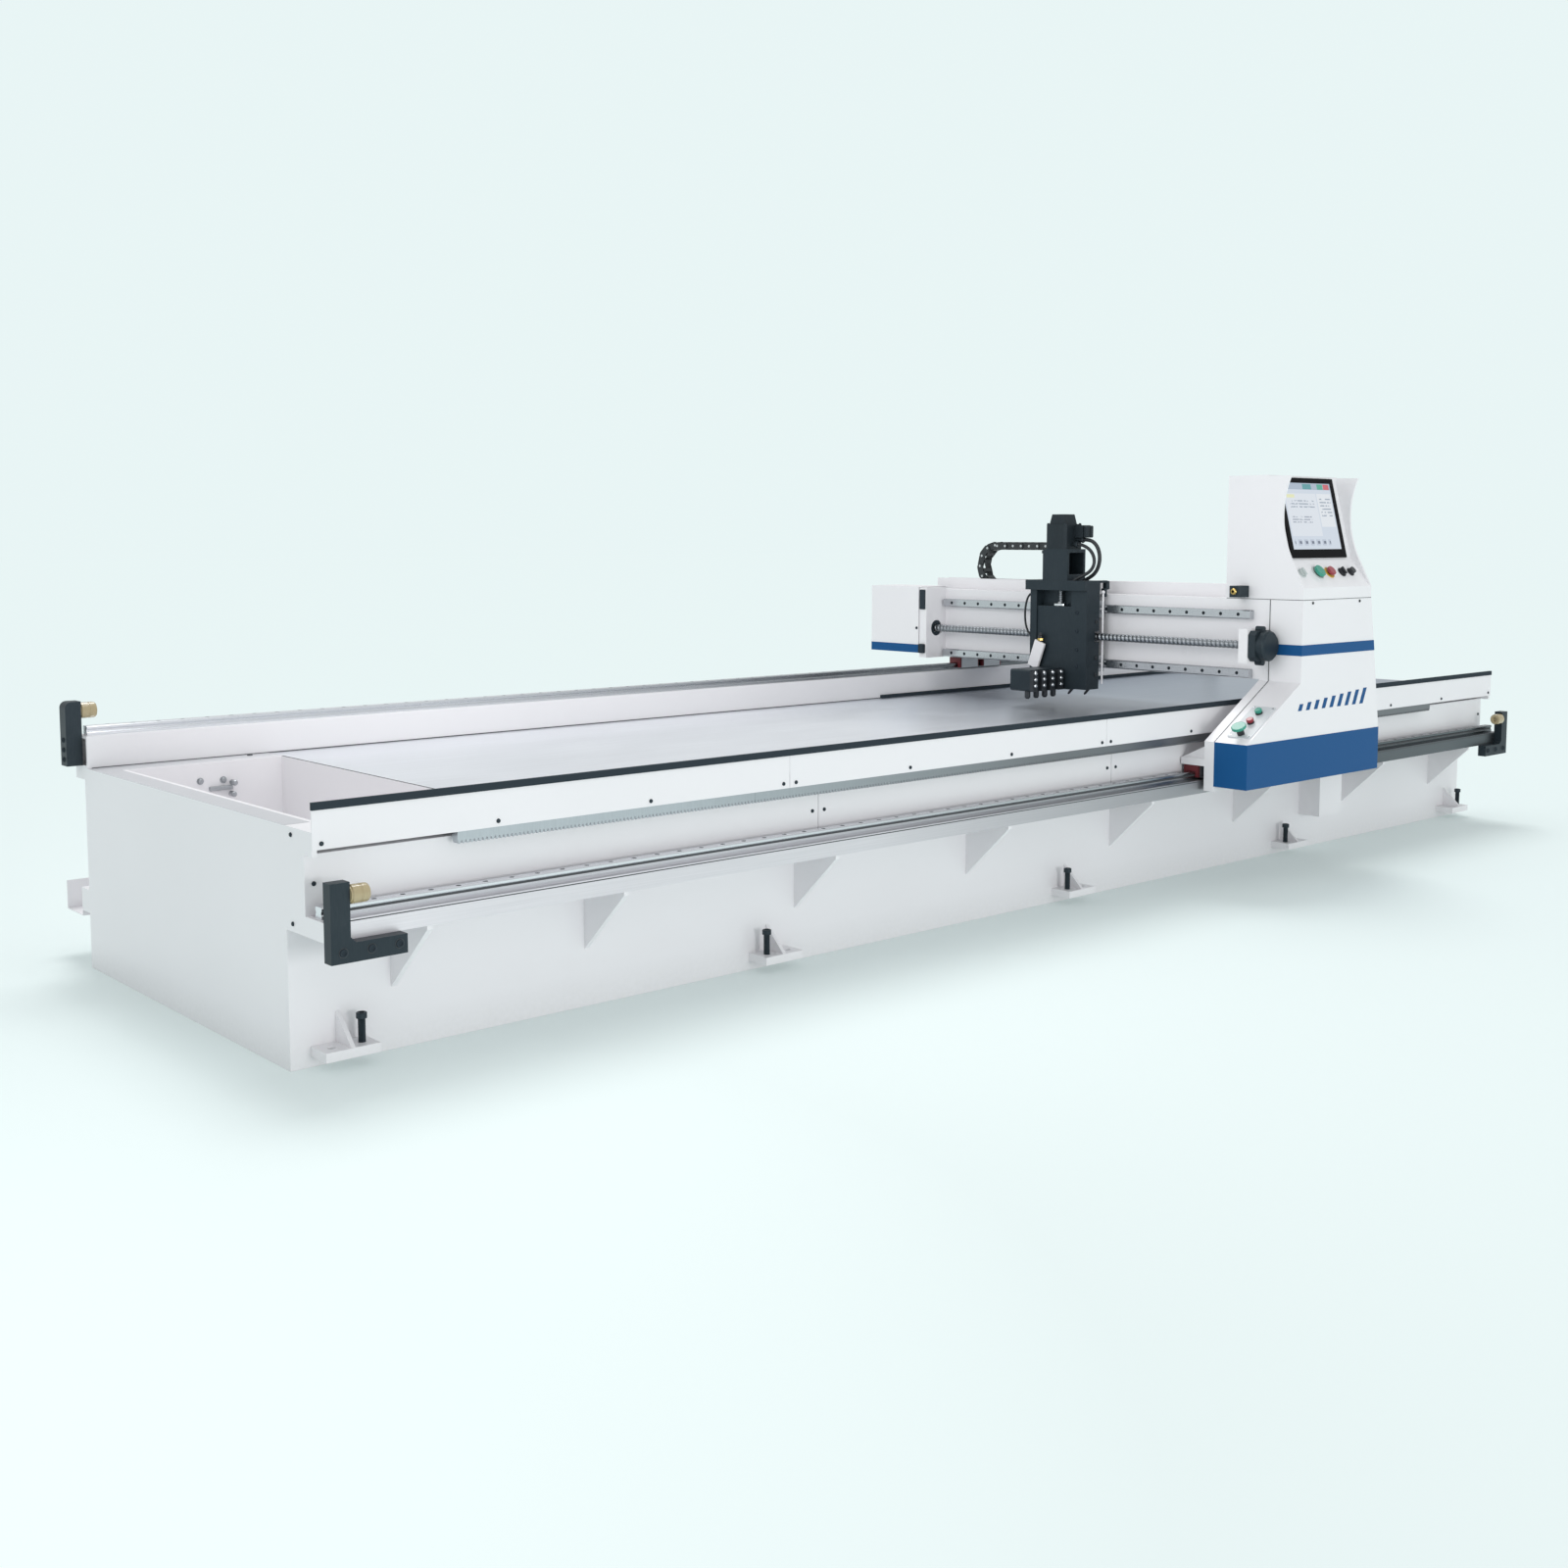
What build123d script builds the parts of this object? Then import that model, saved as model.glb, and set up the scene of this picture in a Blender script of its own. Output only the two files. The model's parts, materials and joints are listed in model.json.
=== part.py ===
"""Gantry type V-grooving machine, in millimetres.

X runs along the bed, Y to the back and Z up. The origin is on the floor, below the middle of the machine.
"""
import os
from math import atan2, cos, hypot, pi, radians, sin, tan

from build123d import *

os.makedirs("parts", exist_ok=True)

# Bed: walls, table and chip well
BED_LENGTH = 6000.0
BED_DEPTH = 1380.0
FRONT = -700.0
WALL = 25.0
END_PLATE = 14.0
TABLE_TOP = 625.0
TABLE_THICK = 30.0
RIB_COUNT = 7
RIB_THICK = 12.0
RIB_LOW = 60.0
RIB_FRAME = 120.0
WELL_RIM = 82.0
WELL_LENGTH = 498.0
WELL_WALL = 6.0
WELL_FLOOR = 250.0
WELL_BACK_RIM = 105.0

# Front beam with its panels, and the ledge that carries the front rail
LEDGE_TOP = 413.0
LEDGE_THICK = 50.0
LEDGE_OUT = 200.0
BEAM_OUT = 146.0
BEAM_LOW = 581.0
BEAM_WALL = 8.0
PANEL_THICK = 4.0
PANEL_GAP = 2.0
GUARD_TOP = 679.0
GUARD_SEAMS = (-1458.0, 72.0, 1600.0)
COVER_OUT = 100.0
COVER_TOP = 564.0
COVER_SEAMS = (-1299.0, 163.0, 1625.0)
STRIP_HEIGHT = 19.0
STRIP_THICK = 10.0
FOOT_STRIP = 14.0
FOOT_STRIP_START = 420.0
FOOT_STRIP_SEAT = 6.0
SCREW_R = 8.0
SCREW_HEAD = 5.0
GUARD_SCREW_Z = 596.0
GUARD_SCREWS = 4
COVER_SCREW_Z = 491.0
COVER_SCREWS = 2
SCREW_INSET = 24.0
END_SCREW_OUT = 36.0
END_SCREW_Z = (606.0, 383.0)

# Ledge supports, feet and levelling bolts
GUSSET_ENDS = (290.0, 283.0)
INNER_GUSSETS = (-2100.0, -1300.0, -500.0, 300.0, 1115.0, 1955.0)
GUSSET_THICK = 15.0
GUSSET_DROP = 196.0
GUSSET_OUT = 193.0
GUSSET_EDGE = 12.0
POST_X = (1600.0, 1772.0)
POST_OUT = 100.0
POST_LOW = 148.0
BOLT_ENDS = (172.0, 85.0)
INNER_BOLTS = (-1462.0, -10.0, 1428.0)
BOLT_SIDE = (1, -1, -1, -1, 1)
FOOT_LENGTH = 150.0
FOOT_OUT = 85.0
FOOT_Z = (29.0, 54.0)
FOOT_GUSSET_TOP = 134.0
FOOT_GUSSET_THICK = 12.0
ANCHOR_R = 11.0
FOOT_HOLE_SPACING = 84.0
FOOT_HOLE_OUT = 48.0
BOLT_R = 10.0
BOLT_HEAD_R = 14.0
BOLT_TOP = 131.0
BOLT_HEAD = 15.0
HEX_R = 8.0
HEX_DEPTH = 11.0

# Linear rails and their carriages
RAIL_WIDTH = 34.0
RAIL_HEIGHT = 29.0
RAIL_WAIST = 27.0
RAIL_PITCH = 80.0
RAIL_BORE_R = 7.0
RAIL_BORE_DEPTH = 12.0
RAIL_END = 12.0
FRONT_RAIL_OUT = 150.0
REAR_BEAM_WIDTH = 90.0
REAR_BEAM_HEIGHT = 99.0
REAR_SHELF_OUT = 75.0
REAR_SHELF_THICK = 36.0
CARRIAGE_LENGTH = 110.0
CARRIAGE_WIDTH = 70.0
CARRIAGE_STACK = 55.0
CARRIAGE_LIFT = 7.0
SEAL_THICK = 8.0
RUN_GAP = 0.5

# Gear rack and pinion
MODULE = 4.0
SEGMENT_TEETH = 80
SEGMENTS = 5
RACK_START = -2600.0
RACK_WIDTH = 28.0
RACK_BODY = 23.0
RACK_INSET = 2.0
RACK_JOINT = 0.5
PINION_TEETH = 24
PINION_WIDTH = 30.0
PRESSURE_ANGLE = 20.0
BACKLASH = 0.6
TIP_RELIEF = 0.2
PINION_SHAFT_R = 16.0

# End stops
STOP_THICK = 36.0
STOP_ARM = 52.0
STOP_LENGTH = 204.0
STOP_Z = (315.0, 512.0)
STOP_FOOT = 48.0
STOP_CORNER = 14.0
BUMPER_R = 24.0
BUMPER_LENGTH = 50.0
BUMPER_Z = 480.0
REAR_STOP_IN = 12.0
REAR_STOP_LENGTH = 48.0
REAR_STOP_WIDTH = 50.0
REAR_STOP_Z = (632.0, 830.0)
REAR_STOP_ROUND = 20.0
REAR_BUMPER_R = 25.0
REAR_BUMPER_LENGTH = 50.0
REAR_BUMPER_Z = 800.0

# Rear cable tray
TRAY_GAP = 120.0
TRAY_WIDTH = 140.0
TRAY_Z = (140.0, 232.0)
TRAY_WALL = 3.0
TRAY_INSET = 20.0
TRAY_ARM_LENGTH = 60.0
TRAY_ARM_HEIGHT = 74.0
TRAY_ARMS = 5
TRAY_LID = (-2520.0, -55.0)

# Gantry beam, leg and rail carriages
GANTRY_X = 940.0
GANTRY_WIDTH = 300.0
GANTRY_HEIGHT = 312.0
GANTRY_WALL = 12.0
GANTRY_FRONT = -914.0
GANTRY_OVERHANG = 90.0
BEAM_RAIL_INSETS = (29.0, 50.0)
LOWER_RAIL_UP = 21.0
UPPER_RAIL_UP = 251.0
LEG_THICK = 43.0
LEG_LOW = 375.0
LEG_LEFT = 586.0
LEG_SHOULDER = 564.0
LEG_SLOPE_TOP = 774.0
LEG_TOP_RIGHT = 1440.0
LEG_RIGHT = 1500.0
FLANGE_THICK = 27.0
FLANGE_DEPTH = 104.0
FLANGE_GUSSET = 50.0
PINION_X = 1060.0
PINION_ROOM = 100.0
CARRIAGE_INSET = 10.0

# Cross screw with its bearings, and the drive motors
SCREW_X = 878.0
SCREW_Z = 914.0
SCREW_BODY_R = 16.0
SCREW_START = -50.0
SCREW_OVERHANG = 60.0
FIT_GAP = 0.3
BEARING_OUT = 125.0
BEARING_Z = (848.0, 980.0)
BEARING_THICK = 40.0
BEARING_LAP = 26.0
REAR_PLATE_LAP = 40.0
REAR_PLATE_OVERHANG = 5.0
REAR_PLATE_OUT = 130.0
REAR_PLATE_TOP = 1100.0
REAR_PLATE_BORE_R = 36.0
REAR_PLATE_BORE_DEPTH = 12.0
CAP_FLANGE = 118.0
CAP_FLANGE_CORNER = 16.0
CAP_FLANGE_THICK = 32.0
CAP_EAR_R = 12.0
CAP_EAR_OUT = 64.0
CAP_R = 58.0
CAP_LENGTH = 32.0
CAP_EDGE = 6.0
COUPLING_R = 24.0
COUPLING_LENGTH = 52.0
MOTOR_SIZE = 90.0
MOTOR_STAND = 70.0
MOTOR_STAND_SIZE = 104.0
MOTOR_STAND_WALL = 10.0
Y_MOTOR_LENGTH = 195.0
MOTOR_SHAFT_R = 9.0
GEARBOX_SIZE = 120.0
X_MOTOR_LENGTH = 235.0
GEARBOX_BORE_DEPTH = 45.0
REAR_COVER_X = (805.0, 990.0)
REAR_COVER_DEPTH = 305.0
REAR_COVER_Z = (800.0, 1104.0)
SHEET = 3.0
BAND_THICK = 1.5
BAND_Z = (878.0, 919.0)
REAR_BAND_HEIGHT = 38.0

# Cabinet and console
CABINET_FRONT = -1100.0
CABINET_RIGHT = 1525.0
SKIRT_LOW = 395.0
CONSOLE_WIDTH = 497.0
CONSOLE_BACK = -757.0
CONSOLE_TOP = 1570.0
CONSOLE_WALL = 5.0
CHEEK = 10.0
SHELF_LOW = (-1099.0, 1137.0)
SHELF_HIGH = (-1011.0, 1247.0)
SCREEN_HIGH = (-933.0, 1563.0)
CHEEK_TIP = (-1031.0, 1565.0)
CHEEK_WAIST = (-1002.0, 1400.0)
CHEEK_LOW = (-1041.0, 1251.0)
BEZEL_WIDTH = 400.0
BEZEL_INSET = 2.0
BEZEL_THICK = 6.0
DISPLAY_WIDTH = 350.0
DISPLAY_HEIGHT = 268.0
DISPLAY_THICK = 4.0
BEZEL_CHIN = 34.0
STOP_BLOCK = (70.0, 42.0, 45.0)
STOP_BLOCK_Y = -818.0
PLUG_R = 12.0
PLUG_LENGTH = 6.0

# Push buttons and switches, given by their places along the shelf and up the slope
STEM_R = 9.0
STEM_DEPTH = 16.0
BUTTON_RISE = 9.0
CAP_HEIGHT = 10.0
CAP_ROUND = 3.0
KNOB_HEIGHT = 18.0
GRIP_WIDTH = 8.0
SELECTOR_R = 16.0
KNOB_R = 14.0
START_CAP_R = 26.0
EMERGENCY_CAP_R = 20.0
PANEL_START_CAP_R = 28.0
PANEL_START_RISE = 28.0
PANEL_CAP_R = 14.0
SHELF_AT = 0.5
SELECTOR_X = 996.0
START_X = 1109.0
EMERGENCY_X = 1193.0
MODE_X = 1285.0
OVERRIDE_X = 1349.0
PLATE_THICK = 4.0
PLATE_WIDTH = 100.0
PLATE_START = 38.0
PLATE_LENGTH = 202.0
PLATE_SHIFT = 12.0
PANEL_START_AT = 60.0
PANEL_STOP_AT = 133.0
PANEL_FEED_AT = 196.0

# Cable chains
CHAIN_WIDTH = 60.0
CHAIN_HEIGHT = 35.0
CHAIN_BEND_R = 89.0
TROUGH_X = 1022.0
TROUGH_WIDTH = 76.0
TROUGH_HEIGHT = 49.0
TROUGH_FRONT = -750.0
TROUGH_OVERHANG = 90.0
TROUGH_LID_END = 0.0
CHAIN_LIFT = 0.4
LONG_CHAIN_WIDTH = 100.0
LONG_CHAIN_HEIGHT = 40.0
LONG_CHAIN_BEND_R = 90.0
CHAIN_ARM_X = (1060.0, 1160.0)
CHAIN_ARM_THICK = 10.0
CHAIN_ARM_TOP = 1000.0

# Cross carriage, tool slide and tools
CARRIAGE_Y = -16.0
SADDLE_THICK = 40.0
SADDLE_NEAR = 161.0
SADDLE_FAR = 143.0
SADDLE_Z = (694.0, 1107.0)
NEAR_CHEEK = 82.0
FAR_CHEEK = 35.0
CHEEK_OUT = 45.0
NUT_BODY_R = 21.0
NUT_LENGTH = 90.0
NUT_FLANGE = 68.0
NUT_FLANGE_THICK = 40.0
TOP_PLATE_X = (784.0, 888.0)
TOP_PLATE_OVERHANG = 15.0
TOP_PLATE_THICK = 42.0
TOWER_AHEAD = 45.0
TOWER_BEHIND = 74.0
TOWER_WIDTH = 133.0
TOWER_HEIGHT = 131.0
TOWER_WALL = 12.0
TOWER_WINDOW_Z = (26.0, 116.0)
CHAIN_BRACKET_THICK = 12.0
CHAIN_BRACKET_WIDTH = 70.0
CHAIN_BRACKET_ARM = 70.0
SERVO_SIZE = (112.0, 108.0)
SERVO_SHIFT = 12.0
SERVO_HEIGHT = 105.0
SERVO_ROUND = 12.0
ENCODER_SIZE = (84.0, 78.0)
ENCODER_SHIFT = 6.0
ENCODER_HEIGHT = 41.0
ENCODER_TAPER = 10.0
CONNECTOR_SIZE = (50.0, 46.0, 52.0)
CONNECTOR_UP = 48.0
CONNECTOR_SHIFT = 37.0
PLUG_BODY_R = 11.0
PLUG_BODY_LENGTH = 26.0
PLUG_UP = 40.0
PLUG_SHIFT = 31.0
SIGNAL_BODY_R = 9.0
SIGNAL_BODY_LENGTH = 14.0
SIGNAL_UP = 20.0
SIGNAL_SHIFT = 7.0
SERVO_SHAFT_R = 7.0
CABLE_R = 8.0
SIGNAL_R = 7.0
HOSE_R = 4.5
HOSE_IN = 23.0
HOSE_DOWN = (15.0, 202.0)
PIPE_R = 4.0
PIPE_X = 902.0
PIPE_OUT = 4.0
PIPE_Z = (715.0, 1095.0)
Z_SCREW_R = 10.0
Z_SCREW_LOW = 760.0
Z_SCREW_INSET = 13.0
Z_COUPLING_R = 22.0
Z_COUPLING_HEIGHT = 80.0
SLIDE_THICK = 39.0
SLIDE_Z = (690.0, 1040.0)
SLIDE_GAP = 1.0
SLIDE_BORE_LOW = 700.0
TOOL_BLOCK_LENGTH = 205.0
TOOL_BLOCK_WIDTH = 106.0
TOOL_BLOCK_HEIGHT = 90.0
TOOL_BLOCK_SHIFT = 25.0
TOOL_COUNT = 4
TOOL_FIRST = 15.0
TOOL_PITCH = 55.0
HOLDER_SIZE = (30.0, 18.0, 86.0)
BIT_R = 12.0
BIT_DROP = 32.0
BIT_POINT = 7.0
BIT_END_R = 7.0
BIT_IN = 24.0
CHAIN_END_Y = 85.0
CHAIN_BEND_Y = 533.0
CHAIN_LOWER = 860.0
LONG_BEND_X = 1900.0
LONG_CHAIN_LOWER = 2665.0

# Places worked out from the bed's sizes
LEFT = -BED_LENGTH / 2
RIGHT = BED_LENGTH / 2
BACK = FRONT + BED_DEPTH
TABLE_LOW = TABLE_TOP - TABLE_THICK
RIB_MIDDLE = (FRONT + BACK) / 2
TABLE_BACK = BACK - WALL
TABLE_LEFT = LEFT + WELL_RIM + WELL_LENGTH + WELL_WALL
FOOT_STRIP_X = (FOOT_STRIP_START, RIGHT - END_PLATE)
FOOT_STRIP_Y = (TABLE_BACK - FOOT_STRIP, TABLE_BACK)
RIM_TOP = TABLE_TOP
LEDGE_LOW = LEDGE_TOP - LEDGE_THICK
FRONT_RAIL_Y = FRONT - FRONT_RAIL_OUT
REAR_BEAM_TOP = TABLE_TOP + REAR_BEAM_HEIGHT
REAR_RAIL_Y = TABLE_BACK + REAR_BEAM_WIDTH / 2
GUSSET_X = (LEFT + GUSSET_ENDS[0], *INNER_GUSSETS, RIGHT - GUSSET_ENDS[1])
BOLT_X = (LEFT + BOLT_ENDS[0], *INNER_BOLTS, RIGHT - BOLT_ENDS[1])
GUARD_FACE = FRONT - BEAM_OUT - PANEL_THICK
COVER_FACE = FRONT - COVER_OUT - PANEL_THICK
TRAY_FRONT = BACK + TRAY_GAP
TRAY_Y = TRAY_FRONT + TRAY_WIDTH / 2
TOOTH_PITCH = pi * MODULE
RACK_PITCH_Z = BEAM_LOW - RACK_BODY - 1.25 * MODULE
PINION_R = MODULE * PINION_TEETH / 2
PINION_Z = RACK_PITCH_Z - PINION_R
RACK_FRONT = FRONT - BEAM_OUT - RACK_INSET
GANTRY_SPAN = (GANTRY_X, GANTRY_X + GANTRY_WIDTH)
GANTRY_Y = (GANTRY_FRONT, REAR_RAIL_Y + GANTRY_OVERHANG)
BEAM_RAIL_Y = (GANTRY_Y[0] + BEAM_RAIL_INSETS[0], GANTRY_Y[1] - BEAM_RAIL_INSETS[1])
SCREW_Y = (GANTRY_Y[0] + SCREW_START, GANTRY_Y[1] + SCREW_OVERHANG)
BEARING_FRONT_Y = (GANTRY_Y[0] - BEARING_LAP, GANTRY_Y[0] - BEARING_LAP + BEARING_THICK)
REAR_PLATE_Y = (GANTRY_Y[1] - REAR_PLATE_LAP, GANTRY_Y[1] + REAR_PLATE_OVERHANG)
REAR_COVER_BACK = REAR_PLATE_Y[1] + REAR_COVER_DEPTH
TROUGH_Y = (TROUGH_FRONT, GANTRY_Y[1] + TROUGH_OVERHANG)
GANTRY_LOW = REAR_BEAM_TOP + CARRIAGE_STACK
GANTRY_TOP = GANTRY_LOW + GANTRY_HEIGHT
LOWER_RAIL_Z = GANTRY_LOW + LOWER_RAIL_UP
UPPER_RAIL_Z = GANTRY_LOW + UPPER_RAIL_UP
LEG_Y = (GANTRY_Y[0] - LEG_THICK, GANTRY_Y[0])
FLANGE_LOW = LEDGE_TOP + CARRIAGE_STACK
LEFT_FLANGE = (LEG_LEFT, PINION_X - PINION_ROOM)
RIGHT_FLANGE = (PINION_X + PINION_ROOM, LEG_RIGHT)
LONG_CHAIN_LOW = TRAY_Z[0] + TRAY_WALL + LONG_CHAIN_HEIGHT / 2 + CHAIN_LIFT
LONG_CHAIN_TOP = LONG_CHAIN_LOW + 2 * LONG_CHAIN_BEND_R + LONG_CHAIN_HEIGHT / 2


def block(x, y, z, mode=Mode.ADD):
    """Add or cut a box given by its spans along X, Y and Z."""
    with Locations(((x[0] + x[1]) / 2, (y[0] + y[1]) / 2, (z[0] + z[1]) / 2)):
        Box(x[1] - x[0], y[1] - y[0], z[1] - z[0], mode=mode)


def prism(plane, points, depth, mode=Mode.ADD):
    """Add or cut a straight-sided outline carried square to its plane."""
    with BuildSketch(plane) as outline:
        with BuildLine():
            Polyline(*points, close=True)
        make_face()
    extrude(outline.sketch, amount=depth, mode=mode)


def prism_along_x(points, x, mode=Mode.ADD):
    """Carry an outline of (Y, Z) points along X."""
    prism(Plane.YZ.offset(x[0]), points, x[1] - x[0], mode)


def prism_along_y(points, y, mode=Mode.ADD):
    """Carry an outline of (X, Z) points along Y."""
    prism(Plane.XZ.offset(-y[1]), points, y[1] - y[0], mode)


def rod(axis, centre, radius, span, mode=Mode.ADD):
    """Add or cut a cylinder along X, Y or Z; centre holds the two other coordinates in order."""
    length = span[1] - span[0]
    middle = (span[0] + span[1]) / 2
    place = {
        "x": (middle, centre[0], centre[1]),
        "y": (centre[0], middle, centre[1]),
        "z": (centre[0], centre[1], middle),
    }[axis]
    turn = {"x": (0, 90, 0), "y": (90, 0, 0), "z": (0, 0, 0)}[axis]
    with Locations(Location(place, turn)):
        Cylinder(radius, length, mode=mode)


def around(middle, width):
    """Return the span of a width about its middle."""
    return (middle - width / 2, middle + width / 2)


def save(builder, name):
    """Label a finished piece and write it as its own file."""
    builder.part.label = name
    export_step(builder.part, f"parts/{name}.step")


def panel_spans(seams):
    """Return the spans of a row of panels between the bed's ends."""
    starts = [LEFT] + [seam + PANEL_GAP / 2 for seam in seams]
    ends = [seam - PANEL_GAP / 2 for seam in seams] + [RIGHT]
    return list(zip(starts, ends))


def rail_outline(centre, base):
    """Return a rail's section, across and up from its base, with its two ball grooves."""
    half = RAIL_WIDTH / 2
    waist = RAIL_WAIST / 2
    side = [
        (half, 0),
        (half, 0.28 * RAIL_HEIGHT),
        (waist, 0.42 * RAIL_HEIGHT),
        (waist, 0.58 * RAIL_HEIGHT),
        (half, 0.72 * RAIL_HEIGHT),
        (half, 0.9 * RAIL_HEIGHT),
        (half - 0.1 * RAIL_HEIGHT, RAIL_HEIGHT),
    ]
    right = [(centre + across, base + up) for across, up in side]
    left = [(centre - across, base + up) for across, up in reversed(side)]
    return right + left


def bolt_places(start, end):
    """Return the places of a rail's bolts between its ends."""
    count = int((end - start) // RAIL_PITCH)
    first = (start + end - (count - 1) * RAIL_PITCH) / 2
    return [first + index * RAIL_PITCH for index in range(count)]


# Bed walls and plates

with BuildPart() as side_walls:
    inside = (LEFT + END_PLATE, RIGHT - END_PLATE)
    block(inside, (FRONT, FRONT + WALL), (0, TABLE_LOW))
    block(inside, (BACK - WALL, BACK), (0, TABLE_TOP))
    block((LEFT, RIGHT), (BACK, BACK + REAR_SHELF_OUT), (TABLE_TOP - REAR_SHELF_THICK, TABLE_TOP))
save(side_walls, "bed_side_walls")

END_OUTLINE = [
    (BACK, 0),
    (FRONT, 0),
    (FRONT, LEDGE_LOW),
    (FRONT - LEDGE_OUT, LEDGE_LOW),
    (FRONT - LEDGE_OUT, LEDGE_TOP),
    (FRONT - COVER_OUT, LEDGE_TOP),
    (FRONT - COVER_OUT, COVER_TOP),
    (FRONT - BEAM_OUT, COVER_TOP),
    (FRONT - BEAM_OUT, RIM_TOP),
    (BACK, RIM_TOP),
]
with BuildPart() as end_plates:
    prism_along_x(END_OUTLINE, (LEFT, LEFT + END_PLATE))
    prism_along_x(END_OUTLINE, (RIGHT - END_PLATE, RIGHT))
save(end_plates, "bed_end_plates")

with BuildPart() as cross_ribs:
    rib_room = RIGHT - TABLE_LEFT
    for rib in range(RIB_COUNT):
        rib_x = TABLE_LEFT + rib_room * (rib + 0.5) / RIB_COUNT
        span = around(rib_x, RIB_THICK)
        block(span, (FRONT + WALL, BACK - WALL), (RIB_LOW, TABLE_LOW))
        window_z = (RIB_LOW + RIB_FRAME, TABLE_LOW - RIB_FRAME)
        block(span, (FRONT + WALL + RIB_FRAME, RIB_MIDDLE - RIB_FRAME / 2), window_z, Mode.SUBTRACT)
        block(span, (RIB_MIDDLE + RIB_FRAME / 2, BACK - WALL - RIB_FRAME), window_z, Mode.SUBTRACT)
save(cross_ribs, "cross_ribs")

WELL_X = (LEFT + WELL_RIM, LEFT + WELL_RIM + WELL_LENGTH)
WELL_Y = (FRONT + WALL + WELL_WALL, TABLE_BACK - WELL_BACK_RIM)
with BuildPart() as well_tub:
    outer_x = (WELL_X[0] - WELL_WALL, TABLE_LEFT)
    outer_y = (WELL_Y[0] - WELL_WALL, WELL_Y[1] + WELL_WALL)
    block(outer_x, outer_y, (WELL_FLOOR - WELL_WALL, RIM_TOP))
    block((LEFT + END_PLATE, TABLE_LEFT), (FRONT, TABLE_BACK), (TABLE_LOW, RIM_TOP))
    block(WELL_X, WELL_Y, (WELL_FLOOR, RIM_TOP), Mode.SUBTRACT)
save(well_tub, "well_tub")

with BuildPart() as work_table:
    block((TABLE_LEFT, RIGHT - END_PLATE), (FRONT, TABLE_BACK), (TABLE_LOW, TABLE_TOP))
    block(FOOT_STRIP_X, FOOT_STRIP_Y, (TABLE_TOP - FOOT_STRIP_SEAT, TABLE_TOP), Mode.SUBTRACT)
save(work_table, "work_table")

# Front beam, panels and ledge

with BuildPart() as front_beam:
    inside = (LEFT + END_PLATE, RIGHT - END_PLATE)
    tube_y = (FRONT - BEAM_OUT, FRONT)
    block(inside, tube_y, (BEAM_LOW, RIM_TOP))
    bore_y = (tube_y[0] + BEAM_WALL, tube_y[1] - BEAM_WALL)
    block(inside, bore_y, (BEAM_LOW + BEAM_WALL, RIM_TOP - BEAM_WALL), Mode.SUBTRACT)
save(front_beam, "front_beam")

with BuildPart() as front_panels:
    for span in panel_spans(GUARD_SEAMS):
        block(span, (GUARD_FACE, GUARD_FACE + PANEL_THICK), (BEAM_LOW, GUARD_TOP))
    for span in panel_spans(COVER_SEAMS):
        block(span, (COVER_FACE, COVER_FACE + PANEL_THICK), (LEDGE_TOP, COVER_TOP))
        shelf = (max(span[0], LEFT + END_PLATE), min(span[1], RIGHT - END_PLATE))
        block(shelf, (COVER_FACE, FRONT), (COVER_TOP - PANEL_THICK, COVER_TOP))
save(front_panels, "front_panels")

with BuildPart() as rubber_strips:
    strip_y = around(GUARD_FACE + PANEL_THICK / 2, STRIP_THICK)
    block((LEFT, RIGHT), strip_y, (GUARD_TOP, GUARD_TOP + STRIP_HEIGHT))
    block(FOOT_STRIP_X, FOOT_STRIP_Y, (TABLE_TOP - FOOT_STRIP_SEAT, TABLE_TOP + FOOT_STRIP))
save(rubber_strips, "rubber_strips")

with BuildPart() as front_ledge:
    inside = (LEFT + END_PLATE, RIGHT - END_PLATE)
    block(inside, (FRONT - LEDGE_OUT, FRONT), (LEDGE_LOW, LEDGE_TOP))
save(front_ledge, "front_ledge")

with BuildPart() as ledge_supports:
    gusset = [
        (FRONT, LEDGE_LOW),
        (FRONT, LEDGE_LOW - GUSSET_DROP),
        (FRONT - GUSSET_OUT, LEDGE_LOW - GUSSET_EDGE),
        (FRONT - GUSSET_OUT, LEDGE_LOW),
    ]
    for gusset_x in GUSSET_X:
        prism_along_x(gusset, around(gusset_x, GUSSET_THICK))
    block(POST_X, (FRONT - POST_OUT, FRONT), (POST_LOW, LEDGE_LOW))
save(ledge_supports, "ledge_supports")

with BuildPart() as panel_screws:
    for face, screw_z, seams, count in (
        (GUARD_FACE, GUARD_SCREW_Z, GUARD_SEAMS, GUARD_SCREWS),
        (COVER_FACE, COVER_SCREW_Z, COVER_SEAMS, COVER_SCREWS),
    ):
        for span in panel_spans(seams):
            room = span[1] - span[0] - 2 * SCREW_INSET
            for screw in range(count):
                screw_x = span[0] + SCREW_INSET + room * screw / (count - 1)
                rod("y", (screw_x, screw_z), SCREW_R, (face - SCREW_HEAD, face))
    for end, outward in ((LEFT, -1), (RIGHT, 1)):
        for screw_z in END_SCREW_Z:
            span = sorted((end, end + outward * SCREW_HEAD))
            rod("x", (FRONT - END_SCREW_OUT, screw_z), SCREW_R, span)
save(panel_screws, "panel_screws")

# Rails, rear beam and gear rack

with BuildPart() as bed_rails:
    ends = (LEFT + RAIL_END, RIGHT - RAIL_END)
    for rail_y, base in ((FRONT_RAIL_Y, LEDGE_TOP), (REAR_RAIL_Y, REAR_BEAM_TOP)):
        prism_along_x(rail_outline(rail_y, base), ends)
        top = base + RAIL_HEIGHT
        with Locations(*[(bolt_x, rail_y, top) for bolt_x in bolt_places(*ends)]):
            Hole(RAIL_BORE_R, RAIL_BORE_DEPTH)
save(bed_rails, "bed_rails")

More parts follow.
